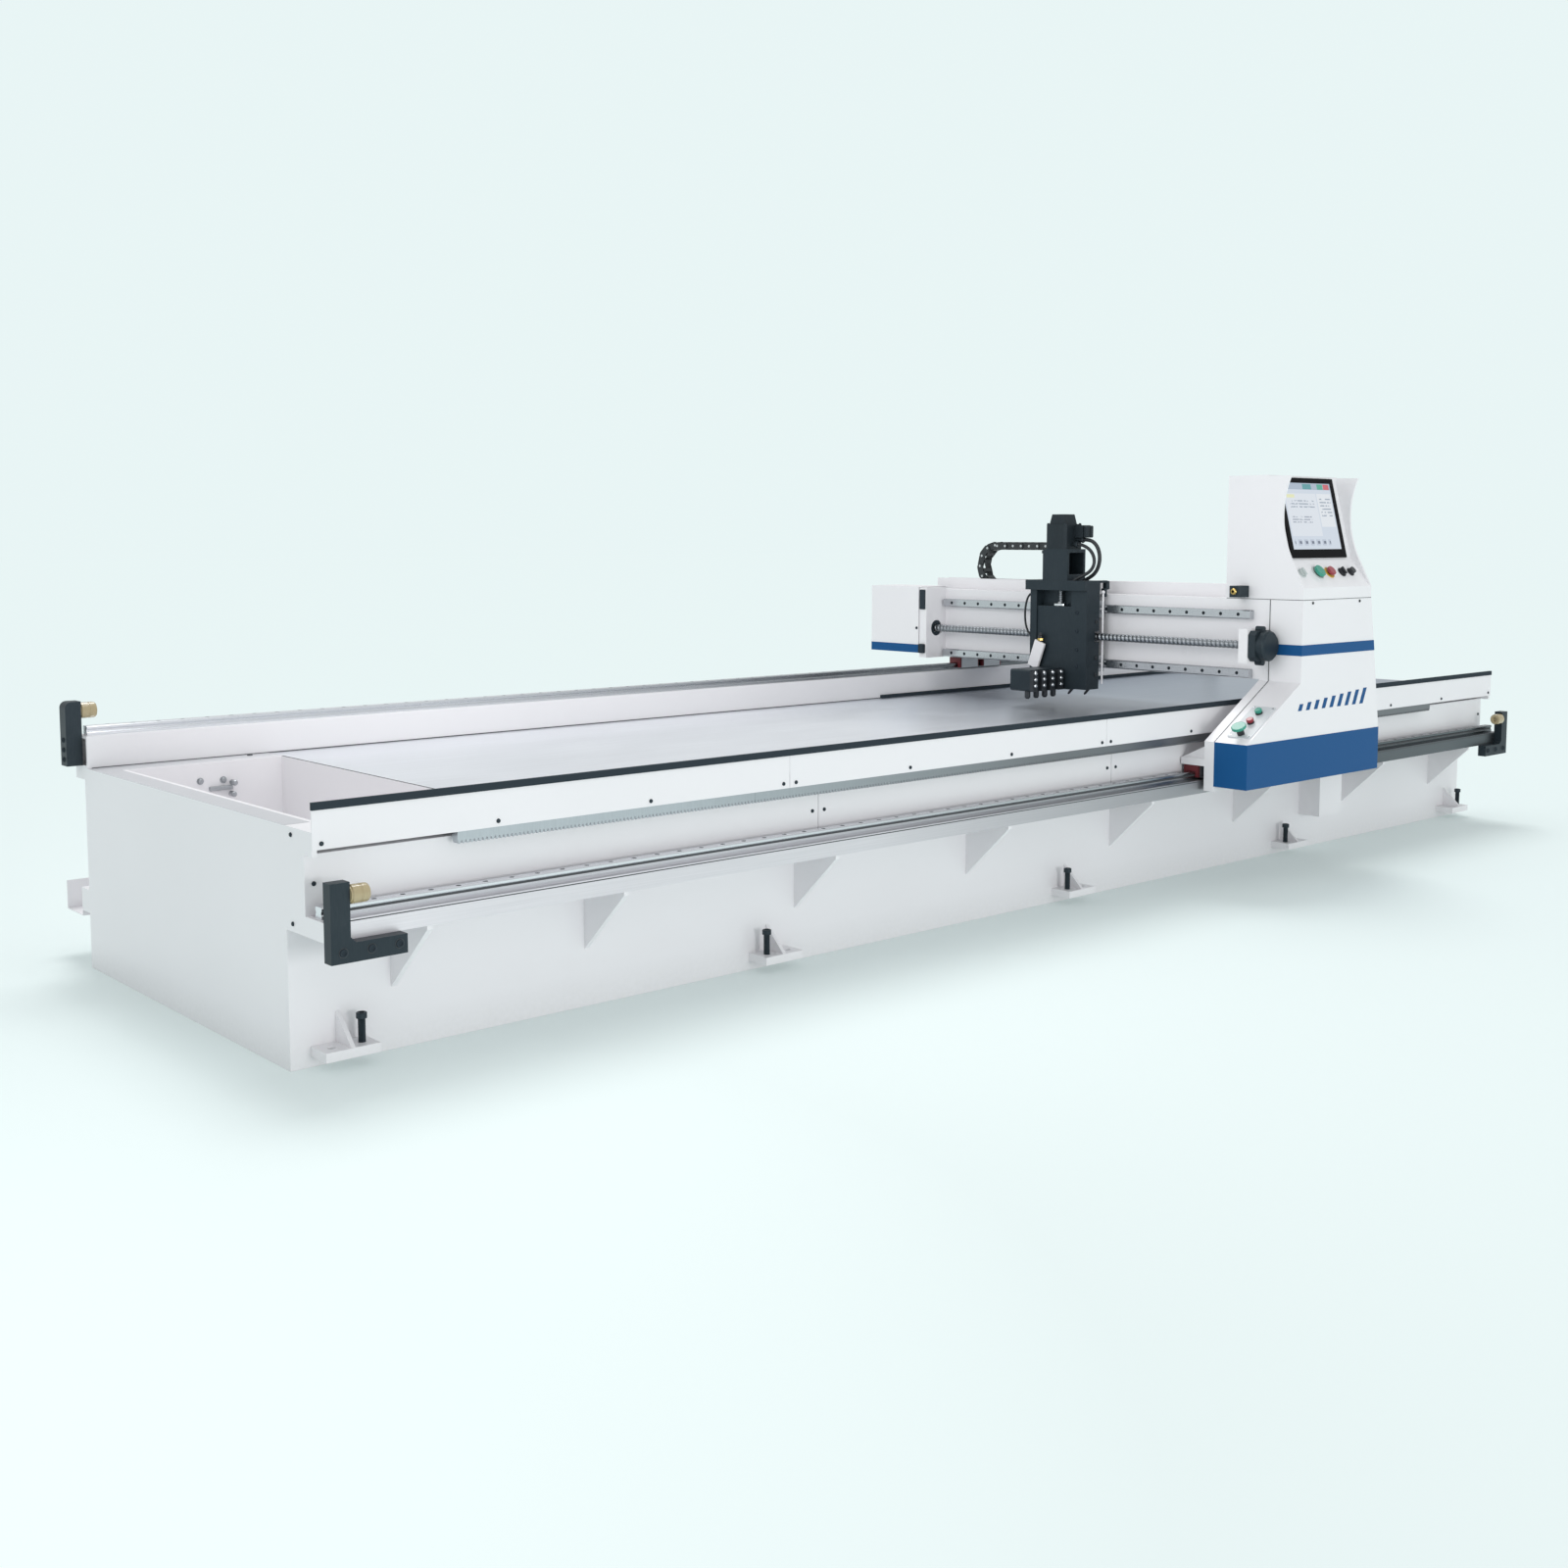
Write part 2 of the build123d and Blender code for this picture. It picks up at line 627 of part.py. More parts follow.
with BuildPart() as rear_beam:
    beam_y = (TABLE_BACK, TABLE_BACK + REAR_BEAM_WIDTH)
    block((LEFT, RIGHT), beam_y, (TABLE_TOP, REAR_BEAM_TOP))
    bore_y = (beam_y[0] + BEAM_WALL, beam_y[1] - BEAM_WALL)
    block((LEFT, RIGHT), bore_y, (TABLE_TOP + BEAM_WALL, REAR_BEAM_TOP - BEAM_WALL), Mode.SUBTRACT)
save(rear_beam, "rear_beam")


def rack_outline(start):
    """Return one rack segment's (X, Z) outline, its teeth pointing down."""
    root = RACK_PITCH_Z + 1.25 * MODULE
    tip = RACK_PITCH_Z - MODULE
    lean = tan(radians(PRESSURE_ANGLE))
    half = TOOTH_PITCH / 4 - BACKLASH / 2
    points = [(start + RACK_JOINT / 2, BEAM_LOW), (start + RACK_JOINT / 2, root)]
    for tooth in range(SEGMENT_TEETH):
        middle = start + (tooth + 0.5) * TOOTH_PITCH
        for side, height in ((-1, root), (-1, tip), (1, tip), (1, root)):
            points.append((middle + side * (half + (height - RACK_PITCH_Z) * lean), height))
    end = start + SEGMENT_TEETH * TOOTH_PITCH - RACK_JOINT / 2
    return points + [(end, root), (end, BEAM_LOW)]


with BuildPart() as gear_rack:
    for segment in range(SEGMENTS):
        start = RACK_START + segment * SEGMENT_TEETH * TOOTH_PITCH
        prism_along_y(rack_outline(start), (RACK_FRONT, RACK_FRONT + RACK_WIDTH))
save(gear_rack, "gear_rack")

# End stops, feet and cable tray

STOP_FRONT = FRONT - LEDGE_OUT - STOP_THICK
STOP_Y = (STOP_FRONT, STOP_FRONT + STOP_THICK)
BUMPER_Y = STOP_FRONT + 0.3 * STOP_THICK
REAR_STOP_Y = (BACK + REAR_STOP_IN, BACK + REAR_STOP_IN + REAR_STOP_WIDTH)

with BuildPart() as stop_brackets:
    for end, inward in ((LEFT, 1), (RIGHT, -1)):
        arm = end + inward * STOP_ARM
        toe = end + inward * STOP_LENGTH
        instep = STOP_Z[0] + STOP_FOOT
        outline = [
            (end, STOP_Z[0]),
            (toe, STOP_Z[0]),
            (toe, instep),
            (arm + inward * STOP_CORNER, instep),
            (arm, instep + STOP_CORNER),
            (arm, STOP_Z[1]),
            (end, STOP_Z[1]),
        ]
        prism_along_y(outline, STOP_Y)
    for end, outward in ((LEFT, -1), (RIGHT, 1)):
        reach = end + outward * REAR_STOP_LENGTH
        block(sorted((end, reach)), REAR_STOP_Y, REAR_STOP_Z)
        corner = stop_brackets.edges().filter_by(Axis.Y)
        corner = corner.filter_by(lambda edge: abs(edge.center().X - reach) < 1).sort_by(Axis.Z)[-1]
        fillet(corner, REAR_STOP_ROUND)
save(stop_brackets, "stop_brackets")

with BuildPart() as stop_bumpers:
    for end, inward in ((LEFT, 1), (RIGHT, -1)):
        seat = end + inward * STOP_ARM
        rod("x", (BUMPER_Y, BUMPER_Z), BUMPER_R, sorted((seat, seat + inward * BUMPER_LENGTH)))
        rear_y = sum(REAR_STOP_Y) / 2
        span = sorted((end, end + inward * REAR_BUMPER_LENGTH))
        rod("x", (rear_y, REAR_BUMPER_Z), REAR_BUMPER_R, span)
save(stop_bumpers, "stop_bumpers")

with BuildPart() as foot_brackets:
    for wall_y, outward in ((FRONT, -1), (BACK, 1)):
        for bolt_x, side in zip(BOLT_X, BOLT_SIDE):
            middle = bolt_x - side * FOOT_HOLE_SPACING / 2
            edge = wall_y + outward * FOOT_OUT
            block(around(middle, FOOT_LENGTH), sorted((wall_y, edge)), FOOT_Z)
            brace = [(wall_y, FOOT_Z[1]), (edge, FOOT_Z[1]), (wall_y, FOOT_GUSSET_TOP)]
            prism_along_x(brace, around(middle, FOOT_GUSSET_THICK))
            hole_y = wall_y + outward * FOOT_HOLE_OUT
            rod("z", (bolt_x, hole_y), BOLT_R + RUN_GAP, FOOT_Z, Mode.SUBTRACT)
            rod("z", (bolt_x - side * FOOT_HOLE_SPACING, hole_y), ANCHOR_R, FOOT_Z, Mode.SUBTRACT)
save(foot_brackets, "foot_brackets")

with BuildPart() as levelling_bolts:
    for wall_y, outward in ((FRONT, -1), (BACK, 1)):
        for bolt_x in BOLT_X:
            place = (bolt_x, wall_y + outward * FOOT_HOLE_OUT)
            rod("z", place, BOLT_R, (FOOT_Z[0], BOLT_TOP))
            rod("z", place, BOLT_HEAD_R, (BOLT_TOP - BOLT_HEAD, BOLT_TOP))
            with BuildSketch(Plane.XY.offset(BOLT_TOP - HEX_DEPTH)) as socket:
                with Locations(place):
                    RegularPolygon(HEX_R, 6)
            extrude(socket.sketch, amount=HEX_DEPTH, mode=Mode.SUBTRACT)
save(levelling_bolts, "levelling_bolts")

with BuildPart() as rear_cable_tray:
    tray_x = (LEFT + TRAY_INSET, RIGHT - TRAY_INSET)
    tray_y = (TRAY_FRONT, TRAY_FRONT + TRAY_WIDTH)
    block(tray_x, tray_y, TRAY_Z)
    hollow_y = (tray_y[0] + TRAY_WALL, tray_y[1] - TRAY_WALL)
    block(tray_x, hollow_y, (TRAY_Z[0] + TRAY_WALL, TRAY_Z[1]), Mode.SUBTRACT)
    block(TRAY_LID, tray_y, (TRAY_Z[1], TRAY_Z[1] + TRAY_WALL))
    arm_room = tray_x[1] - tray_x[0] - TRAY_ARM_LENGTH
    for arm in range(TRAY_ARMS):
        arm_x = tray_x[0] + arm_room * arm / (TRAY_ARMS - 1)
        arm_z = (TRAY_Z[1] - TRAY_ARM_HEIGHT, TRAY_Z[1])
        block((arm_x, arm_x + TRAY_ARM_LENGTH), (BACK, TRAY_FRONT), arm_z)
save(rear_cable_tray, "rear_cable_tray")

# Gantry beam and its rails

with BuildPart() as gantry_beam:
    block(GANTRY_SPAN, GANTRY_Y, (GANTRY_LOW, GANTRY_TOP))
    bore_x = (GANTRY_SPAN[0] + GANTRY_WALL, GANTRY_SPAN[1] - GANTRY_WALL)
    block(bore_x, GANTRY_Y, (GANTRY_LOW + GANTRY_WALL, GANTRY_TOP - GANTRY_WALL), Mode.SUBTRACT)
save(gantry_beam, "gantry_beam")

with BuildPart() as beam_rails:
    for rail_z in (LOWER_RAIL_Z, UPPER_RAIL_Z):
        section = [(GANTRY_X - up, across) for across, up in rail_outline(rail_z, 0)]
        prism_along_y(section, BEAM_RAIL_Y)
        for bolt_y in bolt_places(*BEAM_RAIL_Y):
            face = GANTRY_X - RAIL_HEIGHT
            rod("x", (bolt_y, rail_z), RAIL_BORE_R, (face, face + RAIL_BORE_DEPTH), Mode.SUBTRACT)
save(beam_rails, "beam_rails")

# Front leg with its foot flanges

LEG_OUTLINE = [
    (LEG_LEFT, LEG_LOW),
    (LEG_LEFT, LEG_SHOULDER),
    (GANTRY_X, LEG_SLOPE_TOP),
    (GANTRY_X, GANTRY_TOP),
    (LEG_TOP_RIGHT, GANTRY_TOP),
    (LEG_RIGHT, LEG_SHOULDER),
    (LEG_RIGHT, LEG_LOW),
]
with BuildPart() as front_leg:
    prism_along_y(LEG_OUTLINE, LEG_Y)
    flange_y = (GANTRY_Y[0], GANTRY_Y[0] + FLANGE_DEPTH)
    for span in (LEFT_FLANGE, RIGHT_FLANGE):
        block(span, flange_y, (FLANGE_LOW, FLANGE_LOW + FLANGE_THICK))
    flange_top = FLANGE_LOW + FLANGE_THICK
    brace = [(flange_y[0], flange_top), (flange_y[1], flange_top), (flange_y[0], flange_top + FLANGE_GUSSET)]
    for brace_x in (LEG_LEFT + GANTRY_WALL, LEG_RIGHT - 2 * GANTRY_WALL):
        prism_along_x(brace, (brace_x, brace_x + GANTRY_WALL))
    rod("y", (PINION_X, PINION_Z), PINION_SHAFT_R + 2 * RUN_GAP, LEG_Y, Mode.SUBTRACT)
save(front_leg, "front_leg")


def carriage_spans():
    """Return each rail carriage's X span, rail centre and rail base."""
    front = [
        (LEG_LEFT + CARRIAGE_INSET + SEAL_THICK, FRONT_RAIL_Y, LEDGE_TOP),
        (LEG_RIGHT - CARRIAGE_INSET - SEAL_THICK - CARRIAGE_LENGTH, FRONT_RAIL_Y, LEDGE_TOP),
    ]
    rear = [
        (GANTRY_SPAN[0] + CARRIAGE_INSET + SEAL_THICK, REAR_RAIL_Y, REAR_BEAM_TOP),
        (GANTRY_SPAN[1] - CARRIAGE_INSET - SEAL_THICK - CARRIAGE_LENGTH, REAR_RAIL_Y, REAR_BEAM_TOP),
    ]
    return [((start, start + CARRIAGE_LENGTH), rail_y, base) for start, rail_y, base in front + rear]


def carriage_block(span, rail_y, base, inset=0.0):
    """Add a block that rides over a rail along X, its channel clear of the rail."""
    low = base + CARRIAGE_LIFT
    block(span, around(rail_y, CARRIAGE_WIDTH - 2 * inset), (low, base + CARRIAGE_STACK - inset))
    channel = around(rail_y, RAIL_WIDTH + 2 * RUN_GAP)
    block(span, channel, (low, base + RAIL_HEIGHT + RUN_GAP), Mode.SUBTRACT)


with BuildPart() as gantry_carriages:
    for span, rail_y, base in carriage_spans():
        carriage_block(span, rail_y, base)
save(gantry_carriages, "gantry_carriages")

with BuildPart() as carriage_seals:
    for span, rail_y, base in carriage_spans():
        for seal in ((span[0] - SEAL_THICK, span[0]), (span[1], span[1] + SEAL_THICK)):
            carriage_block(seal, rail_y, base, inset=2.0)
save(carriage_seals, "carriage_seals")

# Cross screw bearings and end cap

with BuildPart() as screw_bearings:
    block((GANTRY_X - BEARING_OUT, GANTRY_X), BEARING_FRONT_Y, BEARING_Z)
    block((GANTRY_X - REAR_PLATE_OUT, GANTRY_X), REAR_PLATE_Y, (GANTRY_LOW, REAR_PLATE_TOP))
    stand_y = (REAR_PLATE_Y[1], REAR_PLATE_Y[1] + MOTOR_STAND)
    block(around(SCREW_X, MOTOR_STAND_SIZE), stand_y, around(SCREW_Z, MOTOR_STAND_SIZE))
    stand_bore = MOTOR_STAND_SIZE - 2 * MOTOR_STAND_WALL
    block(around(SCREW_X, stand_bore), stand_y, around(SCREW_Z, stand_bore), Mode.SUBTRACT)
    screw_bore = (BEARING_FRONT_Y[0], REAR_PLATE_Y[1])
    rod("y", (SCREW_X, SCREW_Z), SCREW_BODY_R + FIT_GAP, screw_bore, Mode.SUBTRACT)
    mouth = (REAR_PLATE_Y[0], REAR_PLATE_Y[0] + REAR_PLATE_BORE_DEPTH)
    rod("y", (SCREW_X, SCREW_Z), REAR_PLATE_BORE_R, mouth, Mode.SUBTRACT)
save(screw_bearings, "screw_bearings")

with BuildPart() as screw_end_cap:
    flange_y = (BEARING_FRONT_Y[0] - CAP_FLANGE_THICK, BEARING_FRONT_Y[0])
    with BuildSketch(Plane.XZ.offset(-flange_y[1])) as flange:
        with Locations((SCREW_X, SCREW_Z)):
            Rectangle(CAP_FLANGE, CAP_FLANGE)
        chamfer(flange.vertices(), CAP_FLANGE_CORNER)
        with Locations((SCREW_X, SCREW_Z - CAP_EAR_OUT), (SCREW_X, SCREW_Z + CAP_EAR_OUT)):
            Circle(CAP_EAR_R)
    extrude(flange.sketch, amount=CAP_FLANGE_THICK)
    rod("y", (SCREW_X, SCREW_Z), CAP_R, (flange_y[0] - CAP_LENGTH, flange_y[0]))
    rim = screw_end_cap.faces().sort_by(Axis.Y)[0].edges()
    chamfer(rim, CAP_EDGE)
    blind = (SCREW_Y[0] - FIT_GAP, flange_y[1])
    rod("y", (SCREW_X, SCREW_Z), SCREW_BODY_R + FIT_GAP, blind, Mode.SUBTRACT)
save(screw_end_cap, "screw_end_cap")

with BuildPart() as rear_cover:
    cover_y = (REAR_PLATE_Y[1], REAR_COVER_BACK)
    block(REAR_COVER_X, cover_y, REAR_COVER_Z)
    inner_x = (REAR_COVER_X[0] + SHEET, REAR_COVER_X[1] - SHEET)
    inner_z = (REAR_COVER_Z[0] + SHEET, REAR_COVER_Z[1] - SHEET)
    block(inner_x, (cover_y[0], cover_y[1] - SHEET), inner_z, Mode.SUBTRACT)
save(rear_cover, "rear_cover")

with BuildPart() as drive_motors:
    gearbox_y = (LEG_Y[0] - GEARBOX_SIZE, LEG_Y[0])
    block(around(PINION_X, GEARBOX_SIZE), gearbox_y, around(PINION_Z, GEARBOX_SIZE))
    bore_y = (LEG_Y[0] - GEARBOX_BORE_DEPTH, LEG_Y[0])
    rod("y", (PINION_X, PINION_Z), PINION_SHAFT_R + RUN_GAP, bore_y, Mode.SUBTRACT)
    motor_y = around(LEG_Y[0] - GEARBOX_SIZE / 2, MOTOR_SIZE)
    gearbox_top = PINION_Z + GEARBOX_SIZE / 2
    block(around(PINION_X, MOTOR_SIZE), motor_y, (gearbox_top, gearbox_top + X_MOTOR_LENGTH))
    seat = REAR_PLATE_Y[1] + MOTOR_STAND
    block(around(SCREW_X, MOTOR_SIZE), (seat, seat + Y_MOTOR_LENGTH), around(SCREW_Z, MOTOR_SIZE))
    rod("y", (SCREW_X, SCREW_Z), MOTOR_SHAFT_R, (SCREW_Y[1] + RUN_GAP, seat))
save(drive_motors, "drive_motors")

# Cabinet

SHELL_FRONT = CABINET_FRONT + BAND_THICK
SHELL_OUTLINE = [
    (LEG_LEFT, LEG_SHOULDER),
    (GANTRY_X, LEG_SLOPE_TOP),
    (GANTRY_X, GANTRY_TOP),
    (LEG_TOP_RIGHT, GANTRY_TOP),
    (CABINET_RIGHT, LEG_SHOULDER),
]
SLOPE_ANGLE = atan2(LEG_SLOPE_TOP - LEG_SHOULDER, GANTRY_X - LEG_LEFT)
SLOPE_Y = (SHELL_FRONT + LEG_Y[0]) / 2 - PLATE_SHIFT


def slope_plane(along):
    """Return the plane on the cabinet's slope at a distance from its lower edge, facing out."""
    origin = (LEG_LEFT + along * cos(SLOPE_ANGLE), SLOPE_Y, LEG_SHOULDER + along * sin(SLOPE_ANGLE))
    across = (cos(SLOPE_ANGLE), 0, sin(SLOPE_ANGLE))
    return Plane(origin=origin, x_dir=across, z_dir=(-sin(SLOPE_ANGLE), 0, cos(SLOPE_ANGLE)))


def stem_holes(planes):
    """Cut the clearance holes for control stems, square to each plane."""
    for plane in planes:
        with BuildSketch(plane.offset(2 * PLATE_THICK)) as hole:
            Circle(STEM_R + FIT_GAP)
        extrude(hole.sketch, amount=-4 * STEM_DEPTH, mode=Mode.SUBTRACT)


SLOPE_PLANES = [slope_plane(along) for along in (PANEL_START_AT, PANEL_STOP_AT, PANEL_FEED_AT)]

with BuildPart() as cabinet_shell:
    shell_y = (SHELL_FRONT, LEG_Y[0])
    prism_along_y(SHELL_OUTLINE, shell_y)
    with BuildSketch(Plane.XZ.offset(-LEG_Y[0])) as hollow:
        with BuildLine():
            Polyline(*SHELL_OUTLINE, close=True)
        make_face()
        offset(amount=-SHEET, kind=Kind.INTERSECTION)
    extrude(hollow.sketch, amount=LEG_Y[0] - SHELL_FRONT - SHEET, mode=Mode.SUBTRACT)
    mouth = [
        (LEG_LEFT + 3 * SHEET, LEG_SHOULDER),
        (CABINET_RIGHT - 3 * SHEET, LEG_SHOULDER),
        (CABINET_RIGHT - 3 * SHEET, LEG_SHOULDER + SHEET),
        (LEG_LEFT + 3 * SHEET, LEG_SHOULDER + SHEET),
    ]
    prism_along_y(mouth, (SHELL_FRONT + SHEET, LEG_Y[0]), Mode.SUBTRACT)
    stem_holes(SLOPE_PLANES)
save(cabinet_shell, "cabinet_shell")

with BuildPart() as cabinet_skirt:
    skirt_x = (LEG_LEFT, CABINET_RIGHT)
    block(skirt_x, (CABINET_FRONT, LEG_Y[0]), (SKIRT_LOW, LEG_SHOULDER))
    inner_x = (skirt_x[0] + SHEET, skirt_x[1] - SHEET)
    block(inner_x, (CABINET_FRONT + SHEET, LEG_Y[0]), (SKIRT_LOW, LEG_SHOULDER), Mode.SUBTRACT)
save(cabinet_skirt, "cabinet_skirt")


def cabinet_right_edge(z):
    """Return the X of the cabinet's flaring right side at a height."""
    share = (z - LEG_SHOULDER) / (GANTRY_TOP - LEG_SHOULDER)
    return CABINET_RIGHT + share * (LEG_TOP_RIGHT - CABINET_RIGHT)


with BuildPart() as blue_bands:
    front_band = [
        (GANTRY_X - BAND_THICK, BAND_Z[0]),
        (cabinet_right_edge(BAND_Z[0]), BAND_Z[0]),
        (cabinet_right_edge(BAND_Z[1]), BAND_Z[1]),
        (GANTRY_X - BAND_THICK, BAND_Z[1]),
    ]
    prism_along_y(front_band, (CABINET_FRONT, SHELL_FRONT))
    block((GANTRY_X - BAND_THICK, GANTRY_X), (SHELL_FRONT, LEG_Y[0]), BAND_Z)
    rear_z = (REAR_COVER_Z[0], REAR_COVER_Z[0] + REAR_BAND_HEIGHT)
    rear_y = (REAR_PLATE_Y[1], REAR_COVER_BACK)
    block((REAR_COVER_X[0] - BAND_THICK, REAR_COVER_X[0]), rear_y, rear_z)
save(blue_bands, "blue_bands")

with BuildPart() as button_plate:
    with BuildSketch(slope_plane(PLATE_START + PLATE_LENGTH / 2)) as plate:
        Rectangle(PLATE_LENGTH, PLATE_WIDTH)
        fillet(plate.vertices(), 2 * PLATE_THICK)
    extrude(plate.sketch, amount=PLATE_THICK)
    stem_holes(SLOPE_PLANES)
save(button_plate, "button_plate")

# Console head with its screen

CONSOLE_X = (GANTRY_X, GANTRY_X + CONSOLE_WIDTH)
SHELF_RISE = hypot(SHELF_HIGH[0] - SHELF_LOW[0], SHELF_HIGH[1] - SHELF_LOW[1])
SHELF_UP = ((SHELF_HIGH[0] - SHELF_LOW[0]) / SHELF_RISE, (SHELF_HIGH[1] - SHELF_LOW[1]) / SHELF_RISE)
SCREEN_RISE = hypot(SCREEN_HIGH[0] - SHELF_HIGH[0], SCREEN_HIGH[1] - SHELF_HIGH[1])
SCREEN_UP = ((SCREEN_HIGH[0] - SHELF_HIGH[0]) / SCREEN_RISE, (SCREEN_HIGH[1] - SHELF_HIGH[1]) / SCREEN_RISE)


def shelf_plane(x):
    """Return the plane on the console's sloping shelf at X, facing the operator."""
    along = SHELF_AT * SHELF_RISE
    origin = (x, SHELF_LOW[0] + along * SHELF_UP[0], SHELF_LOW[1] + along * SHELF_UP[1])
    return Plane(origin=origin, x_dir=(1, 0, 0), z_dir=(0, -SHELF_UP[1], SHELF_UP[0]))


def screen_plane(along):
    """Return the plane on the console's screen panel, a distance up it, facing the operator."""
    origin = (
        (CONSOLE_X[0] + CONSOLE_X[1]) / 2,
        SHELF_HIGH[0] + along * SCREEN_UP[0],
        SHELF_HIGH[1] + along * SCREEN_UP[1],
    )
    return Plane(origin=origin, x_dir=(1, 0, 0), z_dir=(0, -SCREEN_UP[1], SCREEN_UP[0]))


SHELF_PLANES = [shelf_plane(x) for x in (SELECTOR_X, START_X, EMERGENCY_X, MODE_X, OVERRIDE_X)]
CONSOLE_OUTLINE = [
    (CONSOLE_BACK, GANTRY_TOP),
    (CONSOLE_BACK, CONSOLE_TOP),
    (SCREEN_HIGH[0], CONSOLE_TOP),
    SCREEN_HIGH,
    SHELF_HIGH,
    SHELF_LOW,
    (SHELF_LOW[0], GANTRY_TOP),
]

with BuildPart() as console_head:
    prism_along_x(CONSOLE_OUTLINE, CONSOLE_X)
    for start in (CONSOLE_X[0], CONSOLE_X[1] - CHEEK):
        with BuildSketch(Plane.YZ.offset(start)) as cheek:
            with BuildLine():
                Polyline(CHEEK_LOW, SHELF_LOW, (SHELF_LOW[0], GANTRY_TOP), (CONSOLE_BACK, GANTRY_TOP))
                Polyline((CONSOLE_BACK, GANTRY_TOP), (CONSOLE_BACK, CONSOLE_TOP), CHEEK_TIP)
                ThreePointArc(CHEEK_TIP, CHEEK_WAIST, CHEEK_LOW)
            make_face()
        extrude(cheek.sketch, amount=CHEEK)
    inner = (CONSOLE_X[0] + CHEEK, CONSOLE_X[1] - CHEEK)
    with BuildSketch(Plane.YZ.offset(inner[0])) as hollow:
        with BuildLine():
            Polyline(*CONSOLE_OUTLINE, close=True)
        make_face()
        offset(amount=-CONSOLE_WALL, kind=Kind.INTERSECTION)
    extrude(hollow.sketch, amount=inner[1] - inner[0], mode=Mode.SUBTRACT)
    cable_y = (GANTRY_Y[0] + GANTRY_WALL, CONSOLE_BACK - 4 * CONSOLE_WALL)
    block(inner, cable_y, (GANTRY_TOP, GANTRY_TOP + CONSOLE_WALL), Mode.SUBTRACT)
    stem_holes(SHELF_PLANES)
save(console_head, "console_head")

BEZEL_HEIGHT = SCREEN_RISE - 2 * BEZEL_INSET
DISPLAY_UP = BEZEL_INSET + BEZEL_CHIN + DISPLAY_HEIGHT / 2

with BuildPart() as screen_frame:
    with BuildSketch(screen_plane(SCREEN_RISE / 2)) as bezel:
        Rectangle(BEZEL_WIDTH, BEZEL_HEIGHT)
    extrude(bezel.sketch, amount=BEZEL_THICK)
    with BuildSketch(screen_plane(DISPLAY_UP)) as window:
        Rectangle(DISPLAY_WIDTH, DISPLAY_HEIGHT)
    extrude(window.sketch, amount=BEZEL_THICK, mode=Mode.SUBTRACT)
save(screen_frame, "screen_frame")

with BuildPart() as screen_display:
    with BuildSketch(screen_plane(DISPLAY_UP)) as pane:
        Rectangle(DISPLAY_WIDTH - 2 * FIT_GAP, DISPLAY_HEIGHT - 2 * FIT_GAP)
    extrude(pane.sketch, amount=DISPLAY_THICK)
save(screen_display, "screen_display")

with BuildPart() as beam_stop_block:
    stop_x = (GANTRY_X - STOP_BLOCK[0], GANTRY_X)
    stop_y = (STOP_BLOCK_Y - STOP_BLOCK[1], STOP_BLOCK_Y)
    stop_z = (GANTRY_TOP + 2 * SHEET, GANTRY_TOP + 2 * SHEET + STOP_BLOCK[2])
    block(stop_x, stop_y, stop_z)
    plug = (sum(stop_y) / 2, sum(stop_z) / 2)
    rod("x", plug, PLUG_R, (stop_x[0] - PLUG_LENGTH, stop_x[0]))
save(beam_stop_block, "beam_stop_block")

# Chain trough on the beam, and the arm that draws the long chain

with BuildPart() as chain_guides:
    trough_x = (TROUGH_X, TROUGH_X + TROUGH_WIDTH)
    trough_z = (GANTRY_TOP, GANTRY_TOP + TROUGH_HEIGHT)
    block(trough_x, TROUGH_Y, trough_z)
    room_x = (trough_x[0] + SHEET, trough_x[1] - SHEET)
    block(room_x, TROUGH_Y, (trough_z[0] + SHEET, trough_z[1]), Mode.SUBTRACT)
    block(trough_x, (TROUGH_Y[0], TROUGH_LID_END), (trough_z[1], trough_z[1] + SHEET))
    arm_y = (GANTRY_Y[1], GANTRY_Y[1] + CHAIN_ARM_THICK)
    block(CHAIN_ARM_X, arm_y, (LONG_CHAIN_TOP, CHAIN_ARM_TOP))
    reach_y = (GANTRY_Y[1], TRAY_Y + LONG_CHAIN_WIDTH / 2)
    block(CHAIN_ARM_X, reach_y, (LONG_CHAIN_TOP, LONG_CHAIN_TOP + CHAIN_ARM_THICK))
save(chain_guides, "chain_guides")

# Rack pinion and cross screw


def involute_flank(base_r, tip_r, steps=4):
    """Return (radius, angle) points of an involute from its base circle to the tooth tip."""
    points = []
    for step in range(steps + 1):
        radius = base_r + (tip_r - base_r) * step / steps
        unwound = max(0, (radius / base_r) ** 2 - 1) ** 0.5
        points.append((radius, unwound - atan2(unwound, 1)))
    return points


def pinion_outline(phase):
    """Return the pinion's (X, Z) outline, its teeth set by a phase angle from the upright."""
    base_r = PINION_R * cos(radians(PRESSURE_ANGLE))
    tip_r = PINION_R + MODULE - TIP_RELIEF
    root_r = PINION_R - 1.25 * MODULE
    flank = involute_flank(base_r, tip_r)
    at_pitch = tan(radians(PRESSURE_ANGLE)) - radians(PRESSURE_ANGLE)
    half = pi / (2 * PINION_TEETH) - BACKLASH / (2 * PINION_R)
    points = []
    for tooth in range(PINION_TEETH):
        middle = phase + 2 * pi * tooth / PINION_TEETH
        rising = [(radius, middle - half - at_pitch + turn) for radius, turn in flank]
        falling = [(radius, middle + half + at_pitch - turn) for radius, turn in reversed(flank)]
        ring = [(root_r, rising[0][1])] + rising + falling + [(root_r, falling[-1][1])]
        points += [(PINION_X + radius * sin(turn), PINION_Z + radius * cos(turn)) for radius, turn in ring]
    return points


